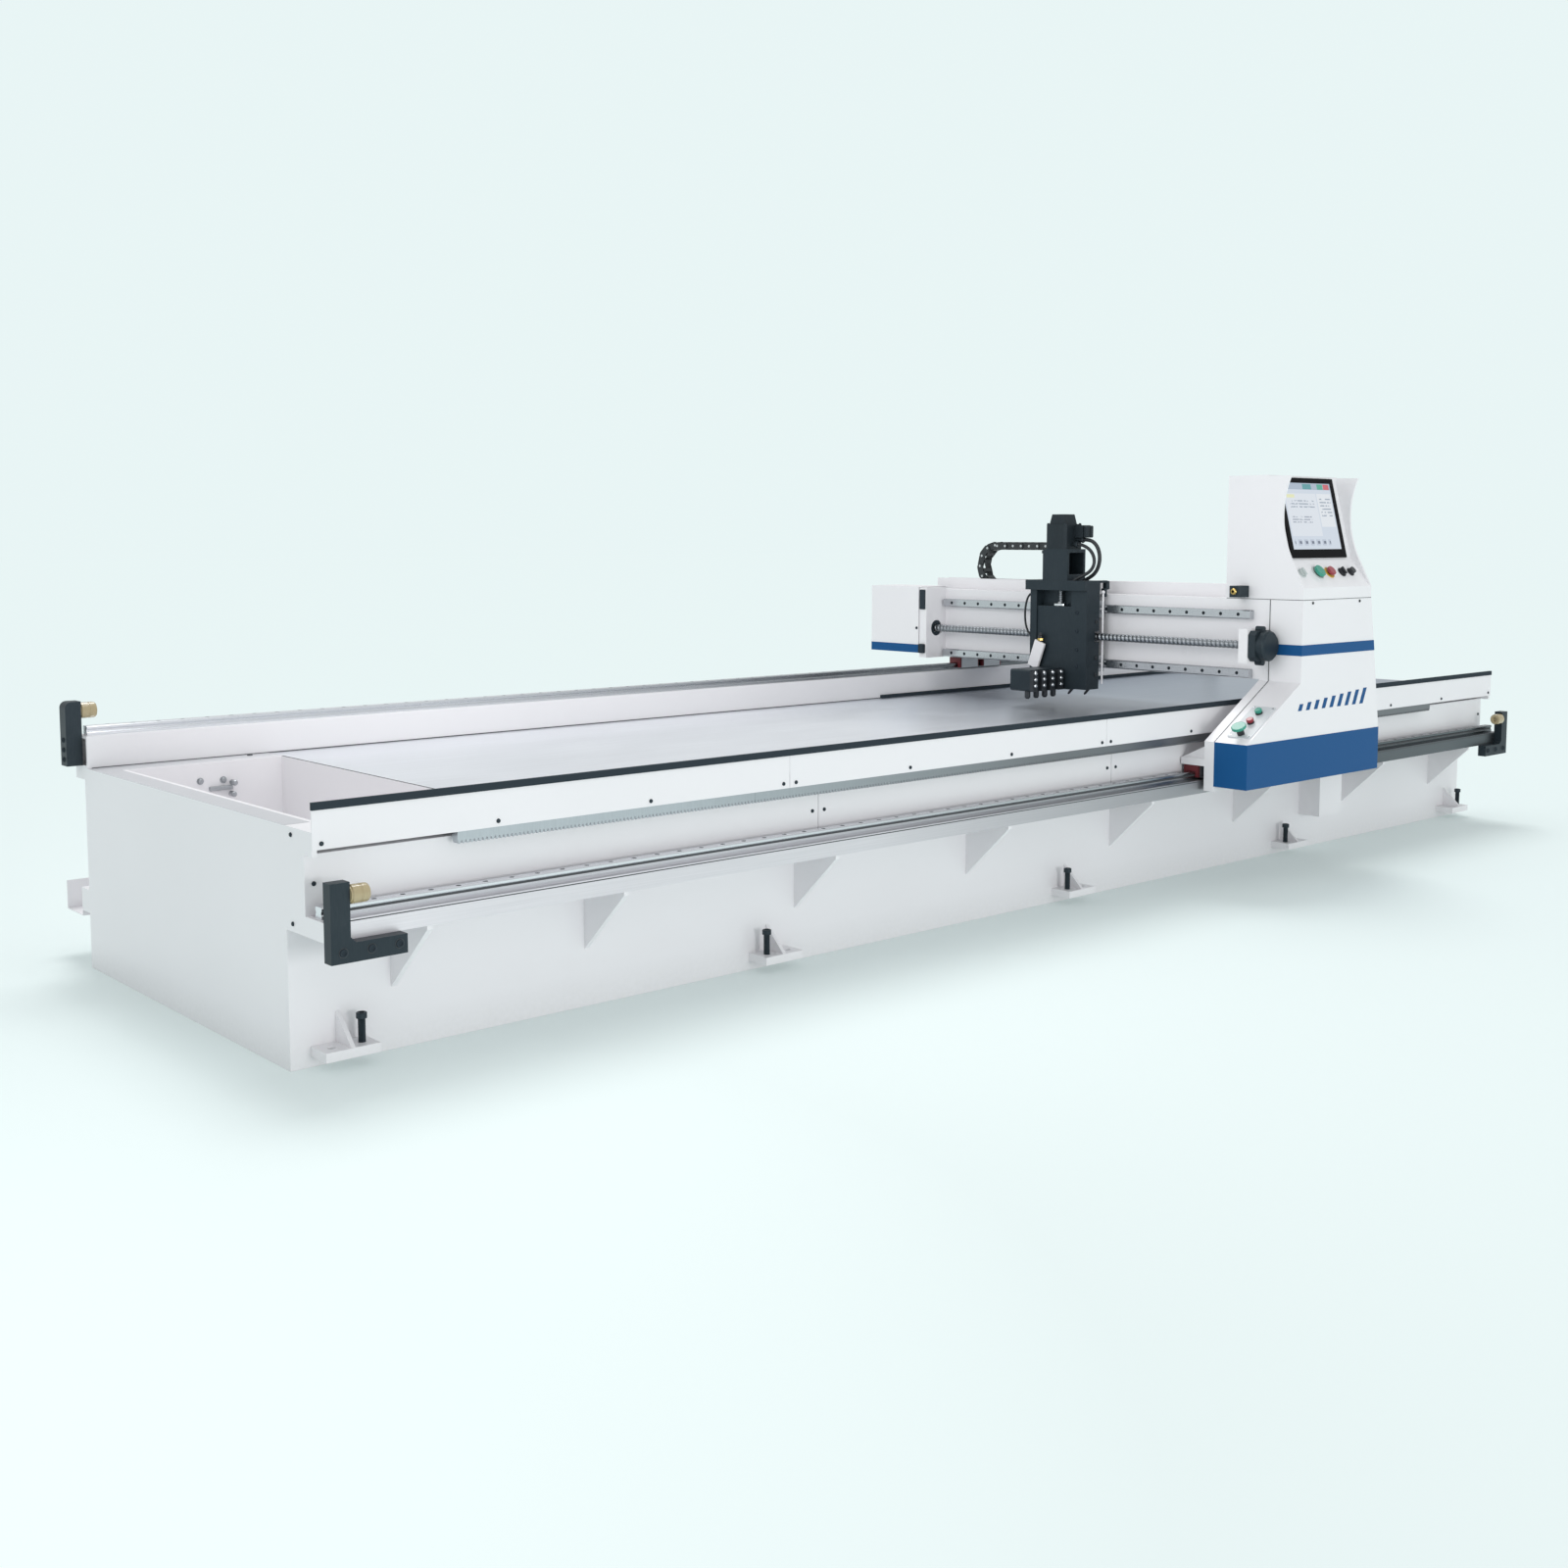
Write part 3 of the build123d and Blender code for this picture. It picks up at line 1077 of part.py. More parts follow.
# A tooth of the pinion stands in the rack's space nearest to it
SPACE_INDEX = round((PINION_X - RACK_START) / TOOTH_PITCH)
PINION_PHASE = (RACK_START + SPACE_INDEX * TOOTH_PITCH - PINION_X) / PINION_R
PINION_Y = around(RACK_FRONT + RACK_WIDTH / 2, PINION_WIDTH)

with BuildPart() as rack_pinion:
    prism_along_y(pinion_outline(PINION_PHASE), PINION_Y)
    shaft_y = (LEG_Y[0] - GEARBOX_BORE_DEPTH + RUN_GAP, PINION_Y[1])
    rod("y", (PINION_X, PINION_Z), PINION_SHAFT_R, shaft_y)
save(rack_pinion, "rack_pinion")

with BuildPart() as cross_screw:
    rod("y", (SCREW_X, SCREW_Z), SCREW_BODY_R, SCREW_Y)
    rod("y", (SCREW_X, SCREW_Z), COUPLING_R, (SCREW_Y[1] - COUPLING_LENGTH, SCREW_Y[1]))
save(cross_screw, "cross_screw")

# Cross carriage

SADDLE_BACK = GANTRY_X - CARRIAGE_STACK
SADDLE_FACE = SADDLE_BACK - SADDLE_THICK
SADDLE_Y = (CARRIAGE_Y - SADDLE_NEAR, CARRIAGE_Y + SADDLE_FAR)
Z_SCREW_X = SADDLE_FACE - SLIDE_GAP - Z_SCREW_INSET
TOWER_X = (Z_SCREW_X - TOWER_AHEAD, Z_SCREW_X + TOWER_BEHIND)
TOP_PLATE_Y = (SADDLE_Y[0], SADDLE_Y[1] + TOP_PLATE_OVERHANG)
TOP_PLATE_TOP = SADDLE_Z[1] + TOP_PLATE_THICK
TOWER_TOP = TOP_PLATE_TOP + TOWER_HEIGHT

with BuildPart() as carriage_saddle:
    block((SADDLE_FACE, SADDLE_BACK), SADDLE_Y, SADDLE_Z)
    for cheek_y in ((SADDLE_Y[0], SADDLE_Y[0] + NEAR_CHEEK), (SADDLE_Y[1] - FAR_CHEEK, SADDLE_Y[1])):
        block((SADDLE_FACE - CHEEK_OUT, SADDLE_FACE), cheek_y, SADDLE_Z)
    groove_x = (SCREW_X - NUT_BODY_R - SLIDE_GAP, SADDLE_BACK)
    block(groove_x, SADDLE_Y, around(SCREW_Z, 2 * (NUT_BODY_R + SLIDE_GAP)), Mode.SUBTRACT)
save(carriage_saddle, "carriage_saddle")

with BuildPart() as carriage_runners:
    for rail_z in (LOWER_RAIL_Z, UPPER_RAIL_Z):
        for start in (SADDLE_Y[0] + CARRIAGE_INSET, SADDLE_Y[1] - CARRIAGE_INSET - CARRIAGE_LENGTH):
            run = (start, start + CARRIAGE_LENGTH)
            block((SADDLE_BACK, GANTRY_X - CARRIAGE_LIFT), run, around(rail_z, CARRIAGE_WIDTH))
            channel_x = (GANTRY_X - RAIL_HEIGHT - RUN_GAP, GANTRY_X - CARRIAGE_LIFT)
            block(channel_x, run, around(rail_z, RAIL_WIDTH + 2 * RUN_GAP), Mode.SUBTRACT)
    nut_y = around(CARRIAGE_Y, NUT_LENGTH)
    rod("y", (SCREW_X, SCREW_Z), NUT_BODY_R, nut_y)
    block((SADDLE_BACK, SADDLE_BACK + NUT_FLANGE_THICK), nut_y, around(SCREW_Z, NUT_FLANGE))
    rod("y", (SCREW_X, SCREW_Z), SCREW_BODY_R + FIT_GAP, nut_y, Mode.SUBTRACT)
    pipe_y = SADDLE_Y[0] - PIPE_OUT
    rod("z", (PIPE_X, pipe_y), PIPE_R, PIPE_Z)
    for rail_z in (LOWER_RAIL_Z, UPPER_RAIL_Z):
        rod("y", (PIPE_X, rail_z), PIPE_R, (pipe_y, SADDLE_Y[0] + CARRIAGE_INSET))
save(carriage_runners, "carriage_runners")

Y_CHAIN_X = TROUGH_X + TROUGH_WIDTH / 2
Y_CHAIN_LOW = GANTRY_TOP + SHEET + CHAIN_LIFT + CHAIN_HEIGHT / 2
Y_CHAIN_HIGH = Y_CHAIN_LOW + 2 * CHAIN_BEND_R

with BuildPart() as motor_tower:
    block(TOP_PLATE_X, TOP_PLATE_Y, (SADDLE_Z[1], TOP_PLATE_TOP))
    tower_y = around(CARRIAGE_Y, TOWER_WIDTH)
    block(TOWER_X, tower_y, (TOP_PLATE_TOP, TOWER_TOP))
    room_x = (TOWER_X[0] + TOWER_WALL, TOWER_X[1] - TOWER_WALL)
    room_y = (tower_y[0] + TOWER_WALL, tower_y[1] - TOWER_WALL)
    block(room_x, room_y, (TOP_PLATE_TOP, TOWER_TOP - TOWER_WALL), Mode.SUBTRACT)
    window_z = (TOP_PLATE_TOP + TOWER_WINDOW_Z[0], TOP_PLATE_TOP + TOWER_WINDOW_Z[1])
    block(room_x, (tower_y[0], room_y[0]), window_z, Mode.SUBTRACT)
    bracket_top = Y_CHAIN_HIGH - CHAIN_HEIGHT / 2 - FIT_GAP
    bracket_z = (bracket_top - CHAIN_BRACKET_THICK, bracket_top)
    bracket_y = (CHAIN_END_Y, CHAIN_END_Y + CHAIN_BRACKET_WIDTH)
    block((TOWER_X[1], Y_CHAIN_X + CHAIN_WIDTH / 2), bracket_y, bracket_z)
    block((TOWER_X[1], TOWER_X[1] + CHAIN_BRACKET_ARM), (CARRIAGE_Y, bracket_y[1]), bracket_z)
    rod("z", (Z_SCREW_X, CARRIAGE_Y), Z_SCREW_R + FIT_GAP, (SADDLE_Z[1], TOP_PLATE_TOP), Mode.SUBTRACT)
    shaft_hole = (TOWER_TOP - TOWER_WALL, TOWER_TOP)
    rod("z", (Z_SCREW_X, CARRIAGE_Y), SERVO_SHAFT_R + RUN_GAP, shaft_hole, Mode.SUBTRACT)
save(motor_tower, "motor_tower")

SERVO_FRONT = CARRIAGE_Y - SERVO_SIZE[1] / 2
CONNECTOR_FRONT = SERVO_FRONT - CONNECTOR_SIZE[1]
CONNECTOR_LOW = TOWER_TOP + CONNECTOR_UP
PLUG_X = Z_SCREW_X + PLUG_SHIFT
PLUG_Z = TOWER_TOP + PLUG_UP
PLUG_FRONT = SERVO_FRONT - PLUG_BODY_LENGTH
SIGNAL_X = Z_SCREW_X + SIGNAL_SHIFT
SIGNAL_Z = TOWER_TOP + SIGNAL_UP
SIGNAL_FRONT = SERVO_FRONT - SIGNAL_BODY_LENGTH
Z_COUPLING_TOP = TOWER_TOP - TOWER_WALL - SLIDE_GAP

with BuildPart() as z_servo_motor:
    servo_top = TOWER_TOP + SERVO_HEIGHT
    servo_x = around(Z_SCREW_X + SERVO_SHIFT, SERVO_SIZE[0])
    block(servo_x, around(CARRIAGE_Y, SERVO_SIZE[1]), (TOWER_TOP, servo_top))
    fillet(z_servo_motor.edges().filter_by(Axis.Z), SERVO_ROUND)
    with BuildSketch(Plane.XY.offset(servo_top)) as encoder:
        with Locations((Z_SCREW_X + ENCODER_SHIFT, CARRIAGE_Y)):
            Rectangle(*ENCODER_SIZE)
    extrude(encoder.sketch, amount=ENCODER_HEIGHT, taper=ENCODER_TAPER)
    connector_z = (CONNECTOR_LOW, CONNECTOR_LOW + CONNECTOR_SIZE[2])
    connector_x = around(Z_SCREW_X + CONNECTOR_SHIFT, CONNECTOR_SIZE[0])
    block(connector_x, (CONNECTOR_FRONT, SERVO_FRONT), connector_z)
    rod("y", (PLUG_X, PLUG_Z), PLUG_BODY_R, (PLUG_FRONT, SERVO_FRONT))
    rod("y", (SIGNAL_X, SIGNAL_Z), SIGNAL_BODY_R, (SIGNAL_FRONT, SERVO_FRONT))
    shaft = (Z_COUPLING_TOP + RUN_GAP, TOWER_TOP)
    rod("z", (Z_SCREW_X, CARRIAGE_Y), SERVO_SHAFT_R, shaft)
save(z_servo_motor, "z_servo_motor")

HOSE_X = SADDLE_FACE - HOSE_IN


def hang(start, low, shape):
    """Return a cord's route: steps across and outward from its start, at shares of its drop."""
    return [(start[0] + across, start[1] + out, low + share * (start[2] - low)) for across, out, share in shape]


# The power cable leaves its plug forward, hangs in a loop and enters the top plate
POWER_SHAPE = [(0, 0, 1.0), (0, -28, 1.0), (0, -60, 0.959), (0, -86, 0.807), (0, -97, 0.579), (0, -91, 0.345)]
POWER_SHAPE += [(0, -71, 0.170), (0, -42, 0.064), (0, -12, -0.015)]
POWER_POINTS = hang((PLUG_X, PLUG_FRONT, PLUG_Z), TOP_PLATE_TOP, POWER_SHAPE)
# The signal cable leaves its plug below, and its loop turns in to the foot of the tower
SIGNAL_SHAPE = [(0, 0, 1.0), (0, -24, 1.0), (0, -56, 0.934), (0, -84, 0.801), (-1, -100, 0.603)]
SIGNAL_SHAPE += [(-4, -99, 0.404), (-9, -82, 0.245), (-16, -56, 0.146), (-24, -32, 0.073), (-30, -13, -0.020)]
SIGNAL_POINTS = hang((SIGNAL_X, SIGNAL_FRONT, SIGNAL_Z), TOP_PLATE_TOP, SIGNAL_SHAPE)
# The oil hose leaves the saddle's far side, hangs in a loop and enters it again
HOSE_SHAPE = [(0, -2, 1.0), (0, 16, 0.989), (0, 32, 0.904), (0, 43, 0.754), (0, 48, 0.561), (0, 47, 0.358)]
HOSE_SHAPE += [(0, 38, 0.176), (0, 22, 0.048), (0, -2, -0.004)]
HOSE_START = (HOSE_X, SADDLE_Y[1], SADDLE_Z[1] - HOSE_DOWN[0])
HOSE_POINTS = hang(HOSE_START, SADDLE_Z[1] - HOSE_DOWN[1], HOSE_SHAPE)


def bend_radii(points, share=0.45):
    """Return the largest arc radius that each corner's two runs leave room for."""
    radii = []
    for before, corner, after in zip(points, points[1:], points[2:]):
        back = Vector(*before) - Vector(*corner)
        ahead = Vector(*after) - Vector(*corner)
        turn = radians(180 - back.get_angle(ahead))
        radii.append(share * min(back.length, ahead.length) / tan(turn / 2))
    return radii


def cord(name, points, radius):
    """Sweep a round cord along its route and return its volume by section and length."""
    radii = bend_radii(points)
    with BuildLine() as route:
        FilletPolyline(*points, radius=radii)
    with BuildSketch(Plane(origin=route.line @ 0, z_dir=route.line % 0)) as section:
        Circle(radius)
    sweep(section.sketch, path=route.line)
    length = sum(edge.length for edge in route.edges())
    print(name, "radii", [round(bend, 1) for bend in radii])
    print(name, round(length, 1), "long,", 2 * radius, "across")
    return pi * radius**2 * length


with BuildPart() as motor_cable:
    power_volume = cord("power cable", POWER_POINTS, CABLE_R)
    signal_volume = cord("signal cable", SIGNAL_POINTS, SIGNAL_R)
    hose_volume = cord("oil hose", HOSE_POINTS, HOSE_R)
    print("cords' volume", round(motor_cable.part.volume))
    print("section times length", round(power_volume + signal_volume + hose_volume))
    block(TOP_PLATE_X, TOP_PLATE_Y, (SADDLE_Z[1], TOP_PLATE_TOP), Mode.SUBTRACT)
    block((SADDLE_FACE - CHEEK_OUT, SADDLE_BACK), SADDLE_Y, SADDLE_Z, Mode.SUBTRACT)
save(motor_cable, "motor_cable")

with BuildPart() as z_screw:
    coupling_low = Z_COUPLING_TOP - Z_COUPLING_HEIGHT
    rod("z", (Z_SCREW_X, CARRIAGE_Y), Z_SCREW_R, (Z_SCREW_LOW, coupling_low))
    rod("z", (Z_SCREW_X, CARRIAGE_Y), Z_COUPLING_R, (coupling_low, Z_COUPLING_TOP))
save(z_screw, "z_screw")

# Tool slide with the row of grooving tools

SLIDE_X = (SADDLE_FACE - SLIDE_GAP - SLIDE_THICK, SADDLE_FACE - SLIDE_GAP)
SLIDE_Y = (SADDLE_Y[0] + NEAR_CHEEK + SLIDE_GAP, SADDLE_Y[1] - FAR_CHEEK - SLIDE_GAP)
TOOL_BLOCK_X = (SLIDE_X[0] - TOOL_BLOCK_LENGTH, SLIDE_X[0])
TOOL_BLOCK_Y = around(CARRIAGE_Y + TOOL_BLOCK_SHIFT, TOOL_BLOCK_WIDTH)
TOOL_BLOCK_Z = (SLIDE_Z[0], SLIDE_Z[0] + TOOL_BLOCK_HEIGHT)

with BuildPart() as tool_slide:
    block(SLIDE_X, SLIDE_Y, SLIDE_Z)
    bore = (SLIDE_BORE_LOW, SLIDE_Z[1])
    rod("z", (Z_SCREW_X, CARRIAGE_Y), Z_SCREW_R + FIT_GAP, bore, Mode.SUBTRACT)
save(tool_slide, "tool_slide")

with BuildPart() as tool_block:
    block(TOOL_BLOCK_X, TOOL_BLOCK_Y, TOOL_BLOCK_Z)
    chamfer(tool_block.edges().filter_by(Axis.Y).group_by(Axis.X)[0], 2 * CAP_ROUND)
save(tool_block, "tool_block")

with BuildPart() as grooving_tools:
    holder_y = (TOOL_BLOCK_Y[0] - HOLDER_SIZE[1], TOOL_BLOCK_Y[0])
    for tool in range(TOOL_COUNT):
        tool_x = TOOL_BLOCK_X[0] + TOOL_FIRST + tool * TOOL_PITCH
        block(around(tool_x, HOLDER_SIZE[0]), holder_y, (SLIDE_Z[0], SLIDE_Z[0] + HOLDER_SIZE[2]))
        shank_z = (SLIDE_Z[0] - BIT_DROP + BIT_POINT, SLIDE_Z[0])
        rod("z", (tool_x, TOOL_BLOCK_Y[0] + BIT_IN), BIT_R, shank_z)
        with Locations((tool_x, TOOL_BLOCK_Y[0] + BIT_IN, shank_z[0] - BIT_POINT / 2)):
            Cone(BIT_END_R, BIT_R, BIT_POINT)
save(grooving_tools, "grooving_tools")

# Cable chains


def chain_lower(span, across, bend, low, height, bend_r):
    """Add a chain's lower run and its bend, drawn in the plane of the bend and carried across."""
    along, side = bend
    low_z = (low - height / 2, low + height / 2)
    middle = low + bend_r
    if side == "x":
        block((along - span, along), across, low_z)
        plane = Plane.XZ.offset(-across[1])
    else:
        block(across, (along - span, along), low_z)
        plane = Plane.YZ.offset(across[0])
    with BuildSketch(plane) as ring:
        with Locations((along, middle)):
            Circle(bend_r + height / 2)
            Circle(bend_r - height / 2, mode=Mode.SUBTRACT)
            with Locations((-bend_r, 0)):
                Rectangle(2 * bend_r, 4 * bend_r, mode=Mode.SUBTRACT)
    extrude(ring.sketch, amount=across[1] - across[0])


Y_CHAIN_ACROSS = around(Y_CHAIN_X, CHAIN_WIDTH)
LONG_ACROSS = around(TRAY_Y, LONG_CHAIN_WIDTH)

with BuildPart() as y_chain:
    chain_lower(CHAIN_LOWER, Y_CHAIN_ACROSS, (CHAIN_BEND_Y, "y"), Y_CHAIN_LOW, CHAIN_HEIGHT, CHAIN_BEND_R)
save(y_chain, "y_chain")

with BuildPart() as y_chain_upper:
    block(Y_CHAIN_ACROSS, (CHAIN_END_Y, CHAIN_BEND_Y - FIT_GAP), around(Y_CHAIN_HIGH, CHAIN_HEIGHT))
save(y_chain_upper, "y_chain_upper")

with BuildPart() as x_chain:
    bend = (LONG_BEND_X, "x")
    chain_lower(LONG_CHAIN_LOWER, LONG_ACROSS, bend, LONG_CHAIN_LOW, LONG_CHAIN_HEIGHT, LONG_CHAIN_BEND_R)
save(x_chain, "x_chain")

with BuildPart() as x_chain_upper:
    long_high = LONG_CHAIN_LOW + 2 * LONG_CHAIN_BEND_R
    upper_x = (CHAIN_ARM_X[0], LONG_BEND_X - FIT_GAP)
    block(upper_x, LONG_ACROSS, around(long_high - FIT_GAP, LONG_CHAIN_HEIGHT))
save(x_chain_upper, "x_chain_upper")

# Push buttons and switches


def mushroom(name, plane, cap_r, rise=BUTTON_RISE):
    """Write a push button: a round cap on a stem that runs through its panel."""
    with BuildPart(plane) as button:
        with Locations((0, 0, -STEM_DEPTH)):
            Cylinder(STEM_R, STEM_DEPTH + rise, align=(Align.CENTER, Align.CENTER, Align.MIN))
        with Locations((0, 0, rise)):
            Cylinder(cap_r, CAP_HEIGHT, align=(Align.CENTER, Align.CENTER, Align.MIN))
        crown = button.edges().filter_by(GeomType.CIRCLE).group_by(SortBy.RADIUS)[-1]
        fillet(crown.sort_by(Axis(plane.origin, plane.z_dir))[-1], CAP_ROUND)
    save(button, name)


def turning_switch(name, plane, knob_r, grip):
    """Write a switch that turns about its stem, with a raised grip bar where it has one."""
    with BuildPart(plane) as switch:
        with Locations((0, 0, -STEM_DEPTH)):
            Cylinder(STEM_R, STEM_DEPTH + FIT_GAP, align=(Align.CENTER, Align.CENTER, Align.MIN))
        with Locations((0, 0, FIT_GAP)):
            height = KNOB_HEIGHT / 2 if grip else KNOB_HEIGHT
            Cylinder(knob_r, height, align=(Align.CENTER, Align.CENTER, Align.MIN))
            if grip:
                Box(GRIP_WIDTH, 2 * knob_r, KNOB_HEIGHT, align=(Align.CENTER, Align.CENTER, Align.MIN))
    save(switch, name)


turning_switch("console_selector", SHELF_PLANES[0], SELECTOR_R, True)
mushroom("console_start_button", SHELF_PLANES[1], START_CAP_R)
mushroom("console_emergency_stop", SHELF_PLANES[2], EMERGENCY_CAP_R)
turning_switch("console_mode_switch", SHELF_PLANES[3], SELECTOR_R, True)
turning_switch("console_override_knob", SHELF_PLANES[4], KNOB_R, False)
PANEL_PLANES = [plane.offset(PLATE_THICK) for plane in SLOPE_PLANES]
mushroom("panel_start_button", PANEL_PLANES[0], PANEL_START_CAP_R, PANEL_START_RISE)
mushroom("panel_stop_button", PANEL_PLANES[1], PANEL_CAP_R)
mushroom("panel_feed_button", PANEL_PLANES[2], PANEL_CAP_R)
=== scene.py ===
"""Looks of a gantry type V-grooving machine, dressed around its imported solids, in metres."""
import json
import logging
from dataclasses import dataclass
from enum import Enum
from math import cos, hypot, pi, radians, sin
from typing import Any, Sequence, Union

import bpy
import numpy as np
from mathutils import Euler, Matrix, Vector

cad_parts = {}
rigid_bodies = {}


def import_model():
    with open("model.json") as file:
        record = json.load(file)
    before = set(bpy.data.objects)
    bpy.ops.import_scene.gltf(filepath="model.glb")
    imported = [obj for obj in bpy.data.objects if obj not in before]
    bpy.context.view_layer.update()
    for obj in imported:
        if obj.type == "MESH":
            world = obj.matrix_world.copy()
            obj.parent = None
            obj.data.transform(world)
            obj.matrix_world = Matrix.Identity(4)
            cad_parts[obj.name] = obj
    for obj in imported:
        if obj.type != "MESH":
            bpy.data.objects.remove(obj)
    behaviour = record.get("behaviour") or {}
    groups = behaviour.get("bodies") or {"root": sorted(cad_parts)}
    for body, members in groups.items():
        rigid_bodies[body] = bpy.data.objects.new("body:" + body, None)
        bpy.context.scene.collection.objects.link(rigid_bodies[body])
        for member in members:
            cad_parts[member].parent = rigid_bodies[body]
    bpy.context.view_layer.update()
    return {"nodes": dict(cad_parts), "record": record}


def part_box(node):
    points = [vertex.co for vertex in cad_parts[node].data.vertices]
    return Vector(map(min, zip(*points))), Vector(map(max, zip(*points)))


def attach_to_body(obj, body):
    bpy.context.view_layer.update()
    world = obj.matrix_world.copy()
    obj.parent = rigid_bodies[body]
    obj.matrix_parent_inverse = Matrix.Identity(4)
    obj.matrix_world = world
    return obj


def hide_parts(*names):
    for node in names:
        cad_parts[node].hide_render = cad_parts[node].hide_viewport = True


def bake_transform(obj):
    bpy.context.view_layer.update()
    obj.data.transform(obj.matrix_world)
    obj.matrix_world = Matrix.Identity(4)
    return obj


for leftover in list(bpy.data.objects):
    bpy.data.objects.remove(leftover)
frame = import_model()
LOG = logging.getLogger("grooving_machine")
SHARP_ANGLE = radians(32)

Colour = tuple[float, float, float]
Point = tuple[float, float, float]
Operand = Union["Signal", float]
Outline = Union[Sequence[tuple[float, float]], np.ndarray]
Places = Union[Point, Sequence[Point], np.ndarray]
Basis = Union["Toward", Sequence[Sequence[float]], np.ndarray, None]
Spot = tuple[np.ndarray, np.ndarray]


class Side(Enum):
    """The sides of a solid's box, each as a corner of the box and an axis."""

    LEFT = (0, 0)
    FRONT = (0, 1)
    LOW = (0, 2)
    RIGHT = (1, 0)
    BACK = (1, 1)
    TOP = (1, 2)

    def of(self, node: str) -> float:
        """Return where this side of a solid's box lies, to a hundredth of a millimetre."""
        corner, axis = self.value
        return round(float(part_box(node)[corner][axis]), 5)


class Signal:
    """A shader socket that takes part in Python expressions; each operator adds a Math node."""

    def __init__(self, tree: bpy.types.NodeTree, socket: bpy.types.NodeSocket) -> None:
        """Wrap one output socket of a node tree."""
        self.tree = tree
        self.socket = socket

    def combine(self, operation: str, left: Operand, right: Operand) -> "Signal":
        """Add a Math node.

        Args:
            operation: the Math node's operation.
            left: its first value or signal.
            right: its second value or signal.

        Returns:
            The node's output.
        """
        node = self.tree.nodes.new("ShaderNodeMath")
        node.operation = operation
        for socket, operand in zip(node.inputs, (left, right)):
            if isinstance(operand, Signal):
                self.tree.links.new(operand.socket, socket)
            else:
                socket.default_value = operand
        return Signal(self.tree, node.outputs[0])

    def __add__(self, other: Operand) -> "Signal":
        """Add."""
        return self.combine("ADD", self, other)

    def __sub__(self, other: Operand) -> "Signal":
        """Subtract."""
        return self.combine("SUBTRACT", self, other)

    def __rsub__(self, other: Operand) -> "Signal":
        """Subtract from a number."""
        return self.combine("SUBTRACT", other, self)

    def __mul__(self, other: Operand) -> "Signal":
        """Multiply."""
        return self.combine("MULTIPLY", self, other)

    def __truediv__(self, other: Operand) -> "Signal":
        """Divide."""
        return self.combine("DIVIDE", self, other)

    def __mod__(self, other: Operand) -> "Signal":
        """Return the remainder above a multiple, for repeats."""
        return self.combine("FLOORED_MODULO", self, other)

    def __gt__(self, other: Operand) -> "Signal":
        """Return a mask that is 1 where this is greater."""
        return self.combine("GREATER_THAN", self, other)

    def __lt__(self, other: Operand) -> "Signal":
        """Return a mask that is 1 where this is less."""
        return self.combine("LESS_THAN", self, other)

    def __and__(self, other: Operand) -> "Signal":
        """Return the lesser, which is both of two masks."""
        return self.combine("MINIMUM", self, other)

    def __or__(self, other: Operand) -> "Signal":
        """Return the greater, which is either of two masks."""
        return self.combine("MAXIMUM", self, other)

    def between(self, low: float, high: float) -> "Signal":
        """Return a mask that is 1 between two values."""
        return (self > low) & (self < high)

    def clipped(self) -> "Signal":
        """Return the value held between 0 and 1."""
        return (self | 0.0) & 1.0


class Nodes:
    """A node tree, and the one way that nodes are added to it and fed."""

    def __init__(self, tree: bpy.types.NodeTree) -> None:
        """Take the tree to build in."""
        self.tree = tree

    def node(self, kind: str, settings: dict | None = None, inputs: dict | None = None) -> bpy.types.Node:
        """Add a node of any kind.

        Args:
            kind: the node's type, without its ShaderNode prefix.
            settings: its properties, set first.
            inputs: values, sockets or signals for its sockets, by name or number.

        Returns:
            The node.
        """
        made = self.tree.nodes.new("ShaderNode" + kind)
        for key, value in (settings or {}).items():
            setattr(made, key, value)
        for key, value in (inputs or {}).items():
            self.feed(made.inputs[key], value)
        return made

    def feed(self, socket: bpy.types.NodeSocket, value: Any) -> None:
        """Link a socket or signal to a socket, or set its value."""
        if isinstance(value, Signal):
            self.tree.links.new(value.socket, socket)
        elif isinstance(value, bpy.types.NodeSocket):
            self.tree.links.new(value, socket)
        elif isinstance(value, tuple) and len(value) == 3 and len(socket.default_value) == 4:
            socket.default_value = (*value, 1.0)
        else:
            socket.default_value = value


